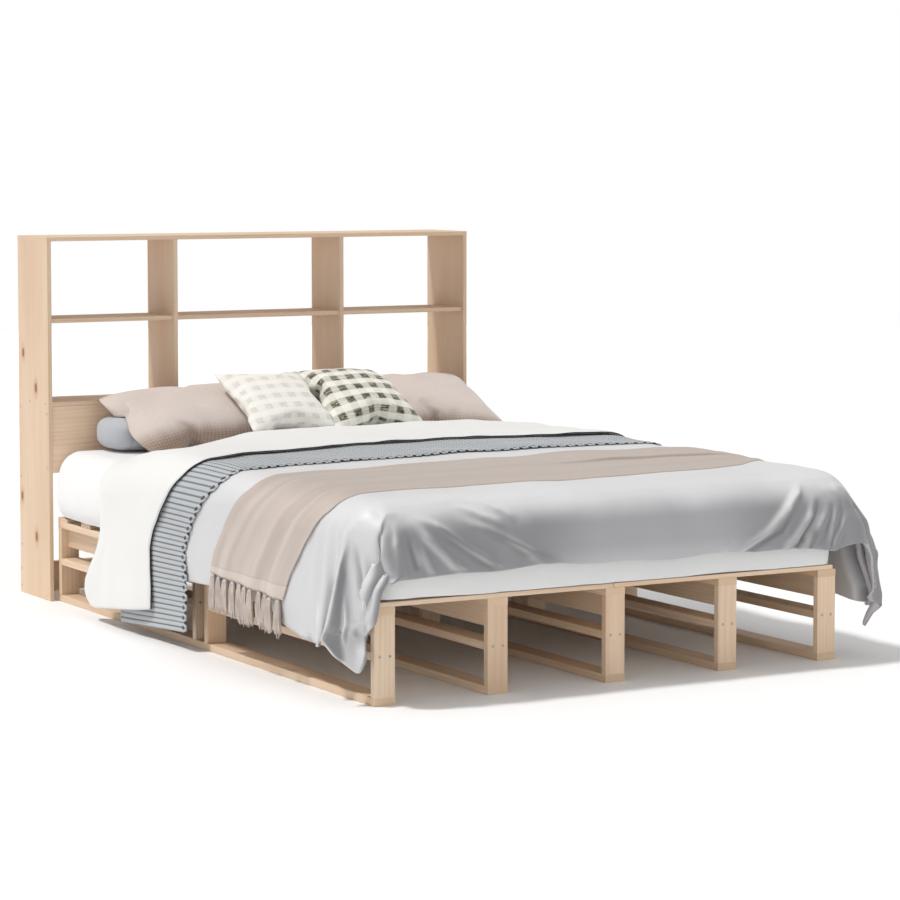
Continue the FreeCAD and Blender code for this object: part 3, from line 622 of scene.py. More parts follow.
def apply_mods(o):
    dg = bpy.context.evaluated_depsgraph_get()
    dg.update()
    me = bpy.data.meshes.new_from_object(o.evaluated_get(dg), preserve_all_data_layers=True, depsgraph=dg)
    o.modifiers.clear()
    old = o.data
    o.data = me
    me.name = o.name
    bpy.data.meshes.remove(old)
    return o


def get_co(o):
    c = np.empty(len(o.data.vertices) * 3)
    o.data.vertices.foreach_get("co", c)
    return c.reshape(-1, 3)


def set_co(o, c):
    o.data.vertices.foreach_set("co", np.asarray(c, float).ravel())
    o.data.update()


def get_no(o):
    c = np.empty(len(o.data.vertices) * 3)
    o.data.vertices.foreach_get("normal", c)
    return c.reshape(-1, 3)


def frames(n):
    for f in range(1, n + 1):
        bpy.context.scene.frame_set(f)


# ---------------------------------------------------------------------------
# mattress and its fitted sheet
# ---------------------------------------------------------------------------
def rounded_grid(x0, x1, y0, y1, z0, z1, rc, re, n_side=8, step=22.0, low_in=0.0):
    """Rings of a box with round corners and a round upper edge, from the bottom rim up to where the round edge meets
    the top.
    """
    def ring(off):
        r = max(rc + off, 1.0)
        pts = []
        cs = ((x1 - rc, y1 - rc, 0), (x0 + rc, y1 - rc, 90), (x0 + rc, y0 + rc, 180), (x1 - rc, y0 + rc, 270))
        for k, (cx, cy, a0) in enumerate(cs):
            for q in range(9):
                a = math.radians(a0 + q * 90 / 8)
                pts.append((cx + r * math.cos(a), cy + r * math.sin(a)))
            nx, ny, na = cs[(k + 1) % 4]
            a = math.radians(a0 + 90)
            p = (cx + r * math.cos(a), cy + r * math.sin(a))
            q2 = (nx + r * math.cos(math.radians(na)), ny + r * math.sin(math.radians(na)))
            L = math.hypot(q2[0] - p[0], q2[1] - p[1])
            m = 60 if L > 1500 else 42
            for s in range(1, m):
                pts.append((p[0] + (q2[0] - p[0]) * s / m, p[1] + (q2[1] - p[1]) * s / m))
        return np.array(pts)
    rings = []
    for k in range(n_side + 1):
        z = z0 + (z1 - re - z0) * k / n_side
        low = low_in * max(0.0, 1 - k / 2.0)
        r = ring(-low)
        rings.append(np.column_stack([r, np.full(len(r), z)]))
    for k in range(1, 7):
        a = math.radians(15 * k)
        r = ring(-(re - re * math.cos(a)))
        rings.append(np.column_stack([r, np.full(len(r), z1 - re + re * math.sin(a))]))
    return np.array(rings)


mx0, mx1, my0, my1, mz0, mz1 = 0.0, 1400.0, 2.0, 2002.0, 255.3, 455.3
R = rounded_grid(mx0 + 3, mx1 - 3, my0 + 3, my1 - 3, mz0, mz1 - 1, 58, 50, n_side=9, low_in=14)
nr, npt = R.shape[:2]


def cap_faces(nr, npt, base=0, flip=False):
    f = []
    for i in range(nr - 1):
        for j in range(npt):
            a, b = i * npt + j, i * npt + (j + 1) % npt
            q = (a + base, b + base, b + npt + base, a + npt + base)
            f.append(q[::-1] if flip else q)
    return f


def fill_ring(ringpts, z, step=24.0):
    """Concentric rings that close a ring towards its middle."""
    c = ringpts[:, :2].mean(0)
    out = []
    for k in range(1, 15):
        t = 1 - k / 15.0
        out.append(np.column_stack([c + (ringpts[:, :2] - c) * t, np.full(len(ringpts), z)]))
    return out


# ticking side with piped edges and a shallow tufted top
tops = fill_ring(R[-1], mz1 - 1)
bots = fill_ring(R[0], mz0)
allr = [b for b in bots[::-1]] + [r for r in R] + [t for t in tops]
A = np.array(allr)
zz = A[..., 2]
pipe = np.exp(-((zz - (mz0 + 14)) / 5.0) ** 2) + np.exp(-((zz - (mz1 - 52)) / 5.0) ** 2)
cx, cy = (mx0 + mx1) / 2, (my0 + my1) / 2
dirs = A[..., :2] - np.array([cx, cy])
dirs = dirs / np.maximum(np.linalg.norm(dirs, axis=-1, keepdims=True), 1e-6)
A[..., :2] += dirs * (pipe * 1.2)[..., None]
nb = len(bots)
quilt = 2.2 * np.sin(A[..., 0] / 62.0) * np.sin(A[..., 1] / 62.0) - 2.2
flatz = (zz >= mz1 - 1.01)
A[..., 2] += np.where(flatz, quilt * 0.6, 0)
v = rowa(A.reshape(-1, 3))
fc = cap_faces(len(A), npt)
cen_b, cen_t = len(v), len(v) + 1
v = np.vstack([v, rowa([[cx, cy, mz0]]), rowa([[cx, cy, mz1 - 2]])])
tri = [(cen_b, (j + 1) % npt, j) for j in range(npt)]
tb = (len(A) - 1) * npt
tri += [(cen_t, tb + j, tb + (j + 1) % npt) for j in range(npt)]
me = bpy.data.meshes.new("mattress_body")
me.from_pydata([tuple(p) for p in v], [], [tuple(f) for f in fc] + tri)
me.polygons.foreach_set("use_smooth", [True] * len(me.polygons))
me.materials.append(M_TICK)
mattress = bpy.data.objects.new("mattress_body", me)
COL.objects.link(mattress)
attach(mattress, "root")
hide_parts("mattress")

# fitted sheet: skirt with soft gathers, tight top
S = rounded_grid(mx0 - 1.2, mx1 + 1.2, my0 - 1.2, my1 + 1.2, mz0 + 1.5, mz1 + 1.7, 60, 52, n_side=14)
ns, nps = S.shape[:2]
Sg = [r for r in S] + fill_ring(S[-1], mz1 + 1.7)
Sg = np.array(Sg)
cdir = Sg[..., :2] - np.array([cx, cy])
out = np.zeros_like(Sg)
lev = np.clip((mz1 - 20 - Sg[..., 2]) / 200.0, 0, 1)
arc = np.cumsum(np.r_[0, np.linalg.norm(np.diff(S[0][:, :2], axis=0), axis=1)])
arc2 = np.broadcast_to(arc, Sg.shape[:2])
pp = np.stack([arc2, Sg[..., 2] * 0.5], -1)
gather = waves(pp, 150.0, 5, 9) * 2.2 + waves(pp, 60.0, 6, 6) * 1.1
gather = np.maximum(gather, -0.5) + 0.6
nrm = np.zeros_like(Sg)
nrm[..., 0] = np.clip((Sg[..., 0] - cx) / (mx1 - cx), -1, 1) ** 15
nrm[..., 1] = np.clip((Sg[..., 1] - cy) / (my1 - cy), -1, 1) ** 15
nl = np.maximum(np.linalg.norm(nrm[..., :2], axis=-1, keepdims=True), 1e-6)
isside = (Sg[..., 2] < mz1 - 6)
bulge = 27.0 * np.sin(np.clip((Sg[..., 2] - 262) / 188.0, 0, 1) * math.pi) ** 0.7 * np.clip((Sg[..., 1] - 1300) / 350.0, 0, 1)
gather = gather + bulge + np.where(Sg[..., 1] < 20, 1.5 * waves(pp, 80.0, 12, 7) + 1.5, 0)
nrm[..., :2] = nrm[..., :2] / nl
Sg[..., :2] += nrm[..., :2] * (np.where(isside, gather * (0.4 + lev), 0))[..., None]
hem = waves(np.stack([arc2, arc2 * 0], -1), 420.0, 8, 5) * 2.0
first = np.zeros(Sg.shape[0])
first[0] = 1
Sg[..., 2] += first[:, None] * np.clip(hem + 1.0, 0, 4)
topm = ~isside
Sg[..., 2] += np.where(topm, 0.25 + 0.25 * waves(Sg[..., :2], 260.0, 9, 7), 0)
v = rowa(Sg.reshape(-1, 3))
fc = cap_faces(len(Sg), nps)
tb = (len(Sg) - 1) * nps
v = np.vstack([v, rowa([[cx, cy, mz1 + 2.0]])])
fc = [tuple(f) for f in fc] + [(len(v) - 1, tb + j, tb + (j + 1) % nps) for j in range(nps)]
me = bpy.data.meshes.new("fitted_sheet_cloth")
me.from_pydata([tuple(p) for p in v], [], fc)
me.polygons.foreach_set("use_smooth", [True] * len(me.polygons))
me.materials.append(M_SHEET)
sheet = bpy.data.objects.new("fitted_sheet_cloth", me)
COL.objects.link(sheet)
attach(sheet, "root")
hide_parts("fitted_sheet")

# ---------------------------------------------------------------------------
# the duvet: draped over the mattress, then its folds
# ---------------------------------------------------------------------------
PX0, PX1, PY0, PTOP, PR = -56.0, 1456.0, -44.0, 504.0, 95.0     # its outer surface where it lies smoothly


def smooth_box(name, x0, x1, y0, y1, z0, z1, r):
    me = bpy.data.meshes.new(name)
    c = [row(x, y, z) for z in (z0, z1) for y in (y0, y1) for x in (x0, x1)]
    me.from_pydata(c, [], [(0, 2, 3, 1), (4, 5, 7, 6), (0, 1, 5, 4), (2, 6, 7, 3), (0, 4, 6, 2), (1, 3, 7, 5)])
    o = bpy.data.objects.new(name, me)
    COL.objects.link(o)
    m = o.modifiers.new("b", "BEVEL")
    m.width = r / 1000.0
    m.segments = 7
    m.limit_method = "NONE"
    apply_mods(o)
    return o


def interp(tab, x):
    t = np.asarray(tab, float)
    return np.interp(x, t[:, 0], t[:, 1])


def drape_duvet():
    d = 15.0
    nx, ny = int(2150 / d), int(1330 / d)
    a = np.linspace(0, 1, nx + 1)
    b = np.linspace(0, 1, ny + 1)
    AA, BB = np.meshgrid(a, b, indexing="ij")
    # overhang past the left, right and foot planes, longer towards the corners
    yrel = BB * 1330
    left = 262 + 45 * np.exp(-(yrel / 190.0) ** 2) + 22 * np.clip((yrel - 650) / 500, 0, 1)
    right = 335 + 25 * np.exp(-(yrel / 190.0) ** 2)
    X = (PX0 + 6 - left) + AA * ((PX1 - 6 + right) - (PX0 + 6 - left))
    foot = 148 + 55 * np.exp(-((X + 190) / 170.0) ** 2) + 40 * np.exp(-((X - 1640) / 190.0) ** 2) + 4 * np.sin(X / 95.0) + 3 * np.sin(X / 41.0)
    Yv = (PY0 + 6 - foot) + BB * (1195 - (PY0 + 6 - foot))
    Z = np.full_like(X, PTOP + 8) + 1.5 * np.sin(X / 60.0) * np.sin(Yv / 75.0)
    g = np.stack([X, Yv, Z], -1)
    return g


g0 = drape_duvet()
nu, nv = g0.shape[:2]
duv_uv = np.stack([np.broadcast_to(np.linspace(0, 2.15, nu)[:, None], (nu, nv)), np.broadcast_to(np.linspace(0, 1.33, nv)[None, :], (nu, nv))], -1)
body = smooth_box("drape_form", PX0 + 6, PX1 - 6, PY0 + 6, 1700, 190, PTOP - 6, PR - 6)
body.modifiers.new("c", "COLLISION")
body.collision.thickness_outer = 0.006
body.collision.cloth_friction = 40
duvet = make("duvet_grey_quilt", rowa(g0.reshape(-1, 3)), quads(nu, nv), M_SATIN, duv_uv.reshape(-1, 2))
vg = duvet.vertex_groups.new(name="hold")
X, Y = g0[..., 0].ravel(), g0[..., 1].ravel()
hold = [int(i) for i in np.nonzero((Y > 1150) & (X > 60) & (X < 1340))[0]]
vg.add(hold, 1.0, "ADD")
m = duvet.modifiers.new("cl", "CLOTH")
s = m.settings
s.quality = 6
s.mass = 0.6
s.air_damping = 2
s.tension_stiffness = 20
s.compression_stiffness = 18
s.shear_stiffness = 7
s.bending_stiffness = 2.2
s.tension_damping = 10
s.compression_damping = 10
s.shear_damping = 8
s.vertex_group_mass = "hold"
m.collision_settings.distance_min = 0.006
m.collision_settings.collision_quality = 2
m.collision_settings.use_self_collision = False
m.point_cache.frame_start = 1
m.point_cache.frame_end = 60
bpy.context.scene.frame_end = 60
bpy.context.scene.gravity = (0.9, 1.7, -9.6)
frames(46)
bpy.context.scene.gravity = (0, 0, -9.81)
apply_mods(duvet)
bpy.data.objects.remove(body)
bpy.context.scene.frame_set(1)

RIDGES = [
    ([(76, -26, 465), (143, -40, 436), (232, -44, 382), (314, -44, 341), (345, -44, 334)], 13, 12),
    ([(67, -26, 465), (111, -44, 416), (191, -44, 349), (242, -44, 328)], 12, 12),
    ([(198, -33, 454), (273, -43, 424), (376, -44, 381), (449, -44, 350), (533, -44, 321)], 14, 13),
    ([(36, -27, 463), (32, -44, 400), (46, -44, 346), (66, -44, 310)], 12, 12),
    ([(1, -29, 443), (10, -39, 383), (27, -43, 326)], 12, 9),
    ([(91, -44, 400), (121, -44, 350), (141, -44, 322)], 12, 7),
    ([(204, -5, 486), (279, -33, 453), (346, -42, 428)], 14, 5),
    ([(267, 17, 498), (330, -24, 467), (378, -41, 434)], 14, 5),
    ([(-56, 63, 390), (-56, 47, 316), (-55, 34, 224), (-55, 35, 130)], 16, 12),
    ([(-43, 7, 425), (-35, -9, 359), (-27, -17, 285), (-22, -22, 236)], 13, 12),
    ([(-56, 185, 299), (-56, 161, 226), (-56, 128, 154)], 20, 9),
    ([(-19, -20, 434), (-9, -31, 397), (15, -41, 348), (35, -44, 318)], 12, 10),
    ([(1282, 5, 492), (1243, -33, 454), (1203, -43, 422), (1139, -44, 378), (1034, -44, 324)], 14, 12),
    ([(1298, -32, 455), (1273, -44, 405), (1225, -44, 355), (1177, -44, 324)], 13, 12),
    ([(1341, -40, 436), (1322, -44, 402), (1290, -44, 360), (1247, -44, 319)], 13, 12),
    ([(1367, -41, 430), (1349, -44, 392), (1328, -44, 322)], 12, 11),
    ([(1410, -29, 426), (1385, -41, 380), (1350, -44, 330)], 12, 10),
    ([(1023, -44, 355), (971, -44, 324)], 12, 6),
]
GROOVES = [
    ([(110, -36, 448), (188, -44, 402), (274, -44, 352), (330, -44, 325)], 10, 9),
    ([(238, -38, 436), (330, -44, 398), (420, -44, 352)], 11, 8),
    ([(12, -34, 430), (22, -44, 372), (34, -44, 322)], 10, 8),
    ([(58, -36, 440), (74, -44, 386), (96, -44, 330)], 10, 8),
    ([(1312, -34, 446), (1284, -44, 396), (1238, -44, 344)], 10, 9),
    ([(1356, -36, 430), (1336, -44, 384), (1308, -44, 330)], 10, 8),
    ([(1386, -36, 428), (1366, -44, 374), (1340, -44, 326)], 9, 8),
    ([(397, -44, 372), (501, -44, 330), (544, -44, 315)], 11, 9),
    ([(-56, 103, 347), (-56, 87, 274), (-56, 71, 200), (-56, 64, 118)], 15, 11),
    ([(-46, 10, 418), (-40, -2, 340), (-31, -14, 266)], 12, 11),
    ([(-56, 244, 234), (-56, 227, 186), (-56, 194, 145)], 18, 9),
    ([(-56, 329, 211), (-56, 312, 175), (-56, 278, 148)], 18, 7),
    ([(1231, -41, 434), (1187, -44, 375), (1055, -44, 325)], 12, 10),
    ([(1269, -44, 360), (1211, -44, 321)], 11, 8),
    ([(1304, -44, 384), (1269, -44, 318)], 11, 8),
]


def duvet_folds(o, do_sub=True):
    if do_sub:
        m = o.modifiers.new("s", "SUBSURF")
        m.levels = m.render_levels = 1
        apply_mods(o)
        bm_ = bmesh.new()
        bm_.from_mesh(o.data)
        lim_y, lim_z = 0.075 - OY, 0.30
        ed = set()
        for f in bm_.faces:
            q = f.calc_center_median()
            if q.y < lim_y and q.z > lim_z:
                ed.update(f.edges)
        bmesh.ops.subdivide_edges(bm_, edges=list(ed), cuts=1, use_grid_fill=True, smooth=0.3)
        bm_.to_mesh(o.data)
        bm_.free()
        o.data.polygons.foreach_set("use_smooth", [True] * len(o.data.polygons))
        o.data.update()
    c = get_co(o)
    n = get_no(o)
    bed = (c + np.array([OX, OY, 0])) * 1000.0
    h = np.zeros(len(bed))
    for pts, w, amp in RIDGES:
        h += stroke(bed, pts, w * 0.80, amp * 1.18, (0.40, 0.22))
    for pts, w, amp in GROOVES:
        h -= stroke(bed, pts, w * 0.80, amp * 1.05, (0.40, 0.22))
    # painted highlight along the ridge crests and painted shade in the grooves, stored as a point attribute
    tone = np.zeros(len(bed))
    for pts, w, amp in RIDGES:
        tone += stroke(bed, pts, w * 0.31, min(1.0, amp / 10.0), (0.30, 0.12))
    for pts, w, amp in GROOVES:
        tone -= stroke(bed, pts, w * 0.85, min(1.0, amp / 8.0), (0.30, 0.12)) * (1 - np.clip(tone, 0, 1))
    tone = np.clip(tone, -1, 1)
    ca = o.data.attributes.new("painted_fold_light_shade", "FLOAT", "POINT")
    ca.data.foreach_set("value", tone.astype(np.float32))
    # shallow unrest of the quilt everywhere
    h += 1.6 * waves(bed, 330.0, 21, 8) + 0.7 * waves(bed, 110.0, 22, 8)
    # belly of the foot face
    f = np.exp(-((bed[:, 1] + 44) / 40.0) ** 2)
    h += f * (9.0 * np.sin(np.clip((bed[:, 2] - 315) / 170.0, 0, 1) * math.pi))
    c = c + n * (h / 1000.0)[:, None]
    set_co(o, c)


duvet_folds(duvet)


def relax(o, spots, rounds):
    """Evens out the crumpled cloth around the given places, in bed mm with a radius."""
    c = get_co(o)
    bed = (c + np.array([OX, OY, 0])) * 1000.0
    e = np.empty(len(o.data.edges) * 2, dtype=np.int64)
    o.data.edges.foreach_get("vertices", e)
    e = e.reshape(-1, 2)
    deg = np.maximum(np.bincount(e.ravel(), minlength=len(c)), 1)[:, None]
    w = np.zeros(len(c))
    for q, rad in spots:
        w = np.maximum(w, np.exp(-(np.linalg.norm(bed - np.array(q, float), axis=1) / rad) ** 4))
    for _ in range(rounds):
        acc = np.stack([np.bincount(e[:, 0], c[e[:, 1], k], len(c)) + np.bincount(e[:, 1], c[e[:, 0], k], len(c)) for k in range(3)], -1)
        c += (w * 0.5)[:, None] * (acc / deg - c)
    set_co(o, c)


def set_corners(o):
    """The two foot corners of the drop: the near one swings back beside the post, the far one flares out."""
    c = get_co(o)
    b = (c + np.array([OX, OY, 0])) * 1000.0
    X, Y, Z = b[:, 0].copy(), b[:, 1].copy(), b[:, 2].copy()
    # the left side hangs lower between the fringe and the near corner
    wy = np.interp(Y, [0, 70, 150, 280, 385, 470, 540], [0.0, 0.30, 0.96, 0.93, 0.66, 0.30, 0.0])
    wl = wy * np.clip((10 - X) / 30.0, 0, 1) * np.clip((420 - Z) / 210.0, 0, 1.05) ** 1.15
    b[:, 2] -= 92.0 * wl
    b[:, 0] -= 10.0 * wl * (0.5 + 0.5 * np.sin(Y / 21.0))
    # the foot side hangs a little lower towards the far corner
    wf = np.clip((-8 - Y) / 20.0, 0, 1) * np.clip((430 - Z) / 95.0, 0, 1) * np.clip((X - 60) / 120.0, 0, 1) * np.clip((1400 - X) / 40.0, 0, 1)
    b[:, 2] -= wf * np.interp(X, [60, 300, 700, 1000, 1200, 1380], [4, 8, 10, 17, 19, 20])
    # near corner
    near = np.clip((130 - X) / 50.0, 0, 1) * np.clip((260 - Y) / 120.0, 0, 1)
    keep = np.interp(Z, [98, 124, 149, 175, 193, 214, 242, 290, 325], [0.80, 0.55, 0.45, 0.40, 0.38, 0.38, 0.42, 0.55, 1.0])
    xin = np.maximum(X + 52.0, 0)
    b[:, 0] = X - near * xin * (1 - keep)
    back = np.interp(Z, [98, 124, 149, 175, 193, 214, 242, 290], [0, 12, 36, 60, 56, 18, 8, 0])
    b[:, 1] = Y + near * back * np.clip((60 - Y) / 90.0, 0, 1)
    # far corner
    out_x = np.interp(Z, [84, 110, 166, 217, 264, 318, 373, 410, 440], [126, 122, 110, 90, 68, 54, 38, 14, 0])
    wy = np.exp(-(np.maximum(Y + 20, 0) / 150.0) ** 2)
    wx = np.clip((X - 1375 + 62 * np.clip((138 - Z) / 42.0, 0, 1)) / 55.0, 0, 1)
    wx = wx * wx * (3 - 2 * wx)
    b[:, 0] += out_x * wy * wx
    b[:, 1] += out_x * 0.10 * wx * wy
    # its lower end comes round to the foot side and hangs less low
    lo = np.clip((320 - Z) / 150.0, 0, 1) * np.clip((X - 1300) / 50.0, 0, 1)
    yy = b[:, 1]
    back = np.interp(yy, [-300, -30, 60, 160, 240, 330, 3000], [-300, -30, 2, 40, 150, 330, 3000])
    b[:, 1] = yy + lo * (back - yy)
    b[:, 2] += 30.0 * np.clip((X - 1385) / 15.0, 0, 1) * np.clip((Y - 110) / 140.0, 0, 1) * np.clip((380 - Z) / 130.0, 0, 1)
    b[:, 2] += 34.0 * lo * np.clip((150 - Z) / 70.0, 0, 1) * np.clip((250 - yy) / 80.0, 0, 1)
    set_co(o, b / 1000.0 - np.array([OX, OY, 0]))


set_corners(duvet)
relax(duvet, [((1452, -8, 430), 62), ((-44, -34, 385), 62)], 40)
# orientation: normals outwards
c = get_co(duvet)
n_ = get_no(duvet)
top = (np.abs(c[:, 0]) < 0.3) & (c[:, 1] > -0.8)
if n_[top][:, 2].mean() < 0:
    duvet.data.flip_normals()
m = duvet.modifiers.new("so", "SOLIDIFY")
m.thickness = 0.009
m.offset = -1.0
apply_mods(duvet)
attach(duvet, "root")
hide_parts("duvet_grey")
bvh_duvet = BVHTree.FromPolygons([v.co for v in duvet.data.vertices], [p.vertices for p in duvet.data.polygons])


# ---------------------------------------------------------------------------
# covers that lie across the bed: s runs over the bed from left to right,
# 0 where the left side starts to round over; Y runs towards the head
# ---------------------------------------------------------------------------
SIDE_Z = PTOP - PR
TOP_W = PX1 - PX0 - 2 * PR


def over(s, y, off):
    """Point and outward normal of the cross-section at offset off from the duvet's smooth surface."""
    s = np.asarray(s, float)
    q = math.pi * PR / 2
    r = PR + off
    z = np.where(s < 0, SIDE_Z + s, 0.0)
    x = np.full_like(s, PX0 - off)
    nx, nz = np.full_like(s, -1.0), np.zeros_like(s)
    a = np.clip(s / PR, 0, math.pi / 2)
    m = (s >= 0) & (s < q)
    x = np.where(m, PX0 + PR - r * np.cos(a), x)
    z = np.where(m, SIDE_Z + r * np.sin(a), z)
    nx = np.where(m, -np.cos(a), nx)
    nz = np.where(m, np.sin(a), nz)
    m = (s >= q) & (s < q + TOP_W)
    x = np.where(m, PX0 + PR + s - q, x)
    z = np.where(m, PTOP + off, z)
    nx = np.where(m, 0, nx)
    nz = np.where(m, 1, nz)
    a2 = np.clip((s - q - TOP_W) / PR, 0, math.pi / 2)
    m = (s >= q + TOP_W) & (s < 2 * q + TOP_W)
    x = np.where(m, PX1 - PR + r * np.sin(a2), x)
    z = np.where(m, SIDE_Z + r * np.cos(a2), z)
    nx = np.where(m, np.sin(a2), nx)
    nz = np.where(m, np.cos(a2), nz)
    m = s >= 2 * q + TOP_W
    x = np.where(m, PX1 + off, x)
    z = np.where(m, SIDE_Z - (s - 2 * q - TOP_W), z)
    nx = np.where(m, 1, nx)
    nz = np.where(m, 0, nz)
    p = np.stack([x, np.broadcast_to(y, s.shape), z], -1)
    return p, np.stack([nx, np.zeros_like(nx), nz], -1)


def push_out(p, n, trees, clear):
    """Outward distance, in mm, that keeps points clear of the covers below."""
    pr = rowa(p)
    out = np.zeros(p.shape[:-1])
    it = np.ndindex(*out.shape)
    for idx in it:
        o = Vector(pr[idx])
        d = Vector(n[idx])
        need = 0.0
        for t in trees:
            hit = t.ray_cast(o + d * 0.12, -d, 0.20)
            if hit[0] is not None:
                h = (0.12 - hit[3]) * 1000.0 + clear
                need = max(need, h)
        out[idx] = need
    return out


def spread(out, times=2, k=3):
    """Keeps the peaks but makes the push field smooth."""
    b = blur(out, k, times)
    return np.maximum(b, 0) + np.maximum(0, blur(np.maximum(out - b, 0), 1, 1)) * 1.2


# ribbed throw --------------------------------------------------------------
YF = [(-357, 954), (-289, 953), (-185, 956), (-138, 951), (-88, 926), (-37, 888), (10, 835), (50, 790), (90, 766), (150, 770), (200, 782), (283, 803),
      (450, 824), (972, 884), (1250, 870), (1365, 842), (1500, 830), (1750, 830)]
YH2 = [(-390, 1399), (-330, 1396), (-200, 1370), (-80, 1290), (0, 1215), (75, 1170), (300, 1215), (700, 1270), (1133, 1270), (1424, 1200), (1750, 1180)]
P = RIB * 1000
ds = P / 5.0
s_lo, s_hi = -386.0, 1726.0
sv = np.arange(s_lo, s_hi, ds)
wv = np.r_[np.arange(0, 30, 2.4), np.arange(30, 180, 12.0), np.linspace(180, 1000, 14) / 1.0]
wv = np.r_[np.linspace(0, 28, 12), np.linspace(34, 200, 13)]
frac = np.r_[np.linspace(0, 1, 9)[1:]]
SS = sv[:, None] * np.ones((1, len(wv) + len(frac)))
arc_s = SS - s_lo
pairc = (np.floor(arc_s / (2 * P)) + 0.5) * 2 * P
dc = arc_s - pairc
edge_in = P - np.sqrt(np.maximum(P * P - np.clip(dc, -P * 0.985, P * 0.985) ** 2, 0)) * 1.0      # scallop outline
yf = interp(YF, SS)
yh = interp(YH2, SS)
W1 = np.broadcast_to(wv[None, :], (len(sv), len(wv)))
w_in = np.maximum(W1, 0) + edge_in[:, :len(wv)] * np.clip(1 - W1 / 26.0, 0, 1)
full = (yh - yf)[:, :1]
w_rest = 200 + (full - 200) * frac[None, :]
WW = np.concatenate([w_in, w_rest], 1)
YY = yf + WW
# a hem that drops a little towards the foot side
SS2 = SS + np.clip((WW / 445.0 - 0.0), 0, 1) * 0
slope = 30.0 * np.clip(1 - WW / 445.0, 0, 1)
SS2 = SS + slope * np.clip(1 - (SS - s_lo) / 330.0, 0, 1)
# rib height: serpentine tape
barc = np.abs(((arc_s / P) % 1.0) - 0.5) * P
rr_ = np.sqrt(dc ** 2 + (WW - P) ** 2)
ser = np.where(WW < P, np.abs(rr_ - P / 2), barc)
hgt = 3.2 * np.sqrt(np.clip(1 - (ser / (P * 0.53)) ** 2, 0, 1))
pts, nrm = over(SS2, YY, 3.0)
soft = 2.2 * waves(np.stack([SS2, YY], -1), 260.0, 31, 6) + 3.0 * np.clip(-SS2 / 300, 0, 1) * np.sin(YY / 70.0 + 1.0)
soft = np.maximum(soft, 0)
cs = slice(None, None, 5)
po = push_out(pts[cs], nrm[cs], [bvh_duvet], 2.5)
po = spread(po)
pof = np.stack([np.interp(np.arange(len(sv)), np.arange(len(sv))[cs], po[:, j]) for j in range(po.shape[1])], 1)
lift = pof + soft
outer = pts + nrm * (lift + hgt)[..., None]
inner = pts + nrm * (lift - 1.2)[..., None]
uvt = np.stack([arc_s / 1000.0, WW / 1000.0], -1)
throw = shell("ribbed_throw_knit", rowa(outer), rowa(inner), M_THROW, uvt)
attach(throw, "root")
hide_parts("ribbed_throw")
# its smooth upper side, for what lies on it
thr_s = pts[cs] + nrm[cs] * (lift + 3.4)[cs][..., None]
tf = quads(thr_s.shape[0], thr_s.shape[1])
bvh_throw = BVHTree.FromPolygons([Vector(p) for p in rowa(thr_s).reshape(-1, 3)], [tuple(int(i) for i in f) for f in tf])

# white turned-down half ----------------------------------------------------
YB = [(-349, 1160), (-318, 1168), (-258, 1172), (-204, 1176), (-149, 1172), (-92, 1140), (-33, 1088), (20, 1040), (60, 1000), (110, 985), (160, 1003), (268, 1055),
      (429, 1093), (710, 1148), (1133, 1160), (1424, 1065), (1620, 1040), (1950, 1050)]
YHD = [(-390, 1550), (-376, 1582), (-363, 1606), (-345, 1630), (-319, 1638), (-289, 1631), (-237, 1596), (-193, 1556), (-141, 1530), (0, 1520), (150, 1535), (600, 1575), (1300, 1580), (1620, 1575), (1950, 1610)]
na, nt = 210, 62
t = np.linspace(0, 1, nt) ** 1.0
a = np.linspace(0, 1, na)
T = np.broadcast_to(t[None, :], (na, nt))
smin = np.interp(t, [0, 0.06, 0.45, 0.9, 1.0], [-318, -324, -345, -368, -366])
smax = 1620 + np.interp(t, [0, 1], [300, 320])
SSw = smin[None, :] + a[:, None] * (smax - smin)[None, :]
yb = interp(YB, SSw)
yh = interp(YHD, SSw)
YYw = yb + T * (yh - yb)
eh = yh - YYw                      # distance to the head edge
ef = YYw - yb
thick = 8.0 + 4.0 * np.clip((YYw - 1210) / 160.0, 0, 1) * np.clip((SSw + 40) / 140.0, 0, 1) * np.clip((1660 - SSw) / 140.0, 0, 1)
# the pile thins out towards the pillows at both sides of the bed
sink = np.clip((520 - SSw) / 330.0, 0, 1) * np.clip((SSw + 20) / 110.0, 0, 1) + 0.55 * np.clip((SSw - 1250) / 250.0, 0, 1) * np.clip((1660 - SSw) / 110.0, 0, 1)
sink = sink * (1 - np.clip((eh - 10) / 300.0, 0, 1)) ** 1.3 * 50.0
base_off = 10.0
round_h = np.sqrt(np.clip(1 - (np.clip(1 - eh / 46.0, 0, 1)) ** 2, 0, 1))
round_f = np.sqrt(np.clip(1 - (np.clip(1 - ef / 9.0, 0, 1)) ** 2, 0, 1))
pts, nrm = over(SSw, YYw, base_off)
pf = np.stack([SSw, YYw], -1)
sidew = np.clip(-(SSw) / 300.0, 0, 1)
wr = 2.4 * waves(pf, 340.0, 41, 7) + 1.0 * waves(pf, 120.0, 42, 7)
wr += sidew * (5.0 * np.sin(YYw / 62.0 + SSw / 210.0) + 2.5 * np.sin(YYw / 33.0 + 1.3) + 5.0)
po = push_out(pts, nrm, [bvh_throw, bvh_duvet], 2.0)
po = spread(po, 2, 3)
core = po + np.maximum(wr, -1.0) + 1.0
crest = 12.0 * np.exp(-((eh - 88.0) / 62.0) ** 2) * np.clip((SSw - 330) / 220.0, 0, 1) * np.clip((1640 - SSw) / 160.0, 0, 1)
out_h = core + thick * round_h * (0.35 + 0.65 * round_f) + crest
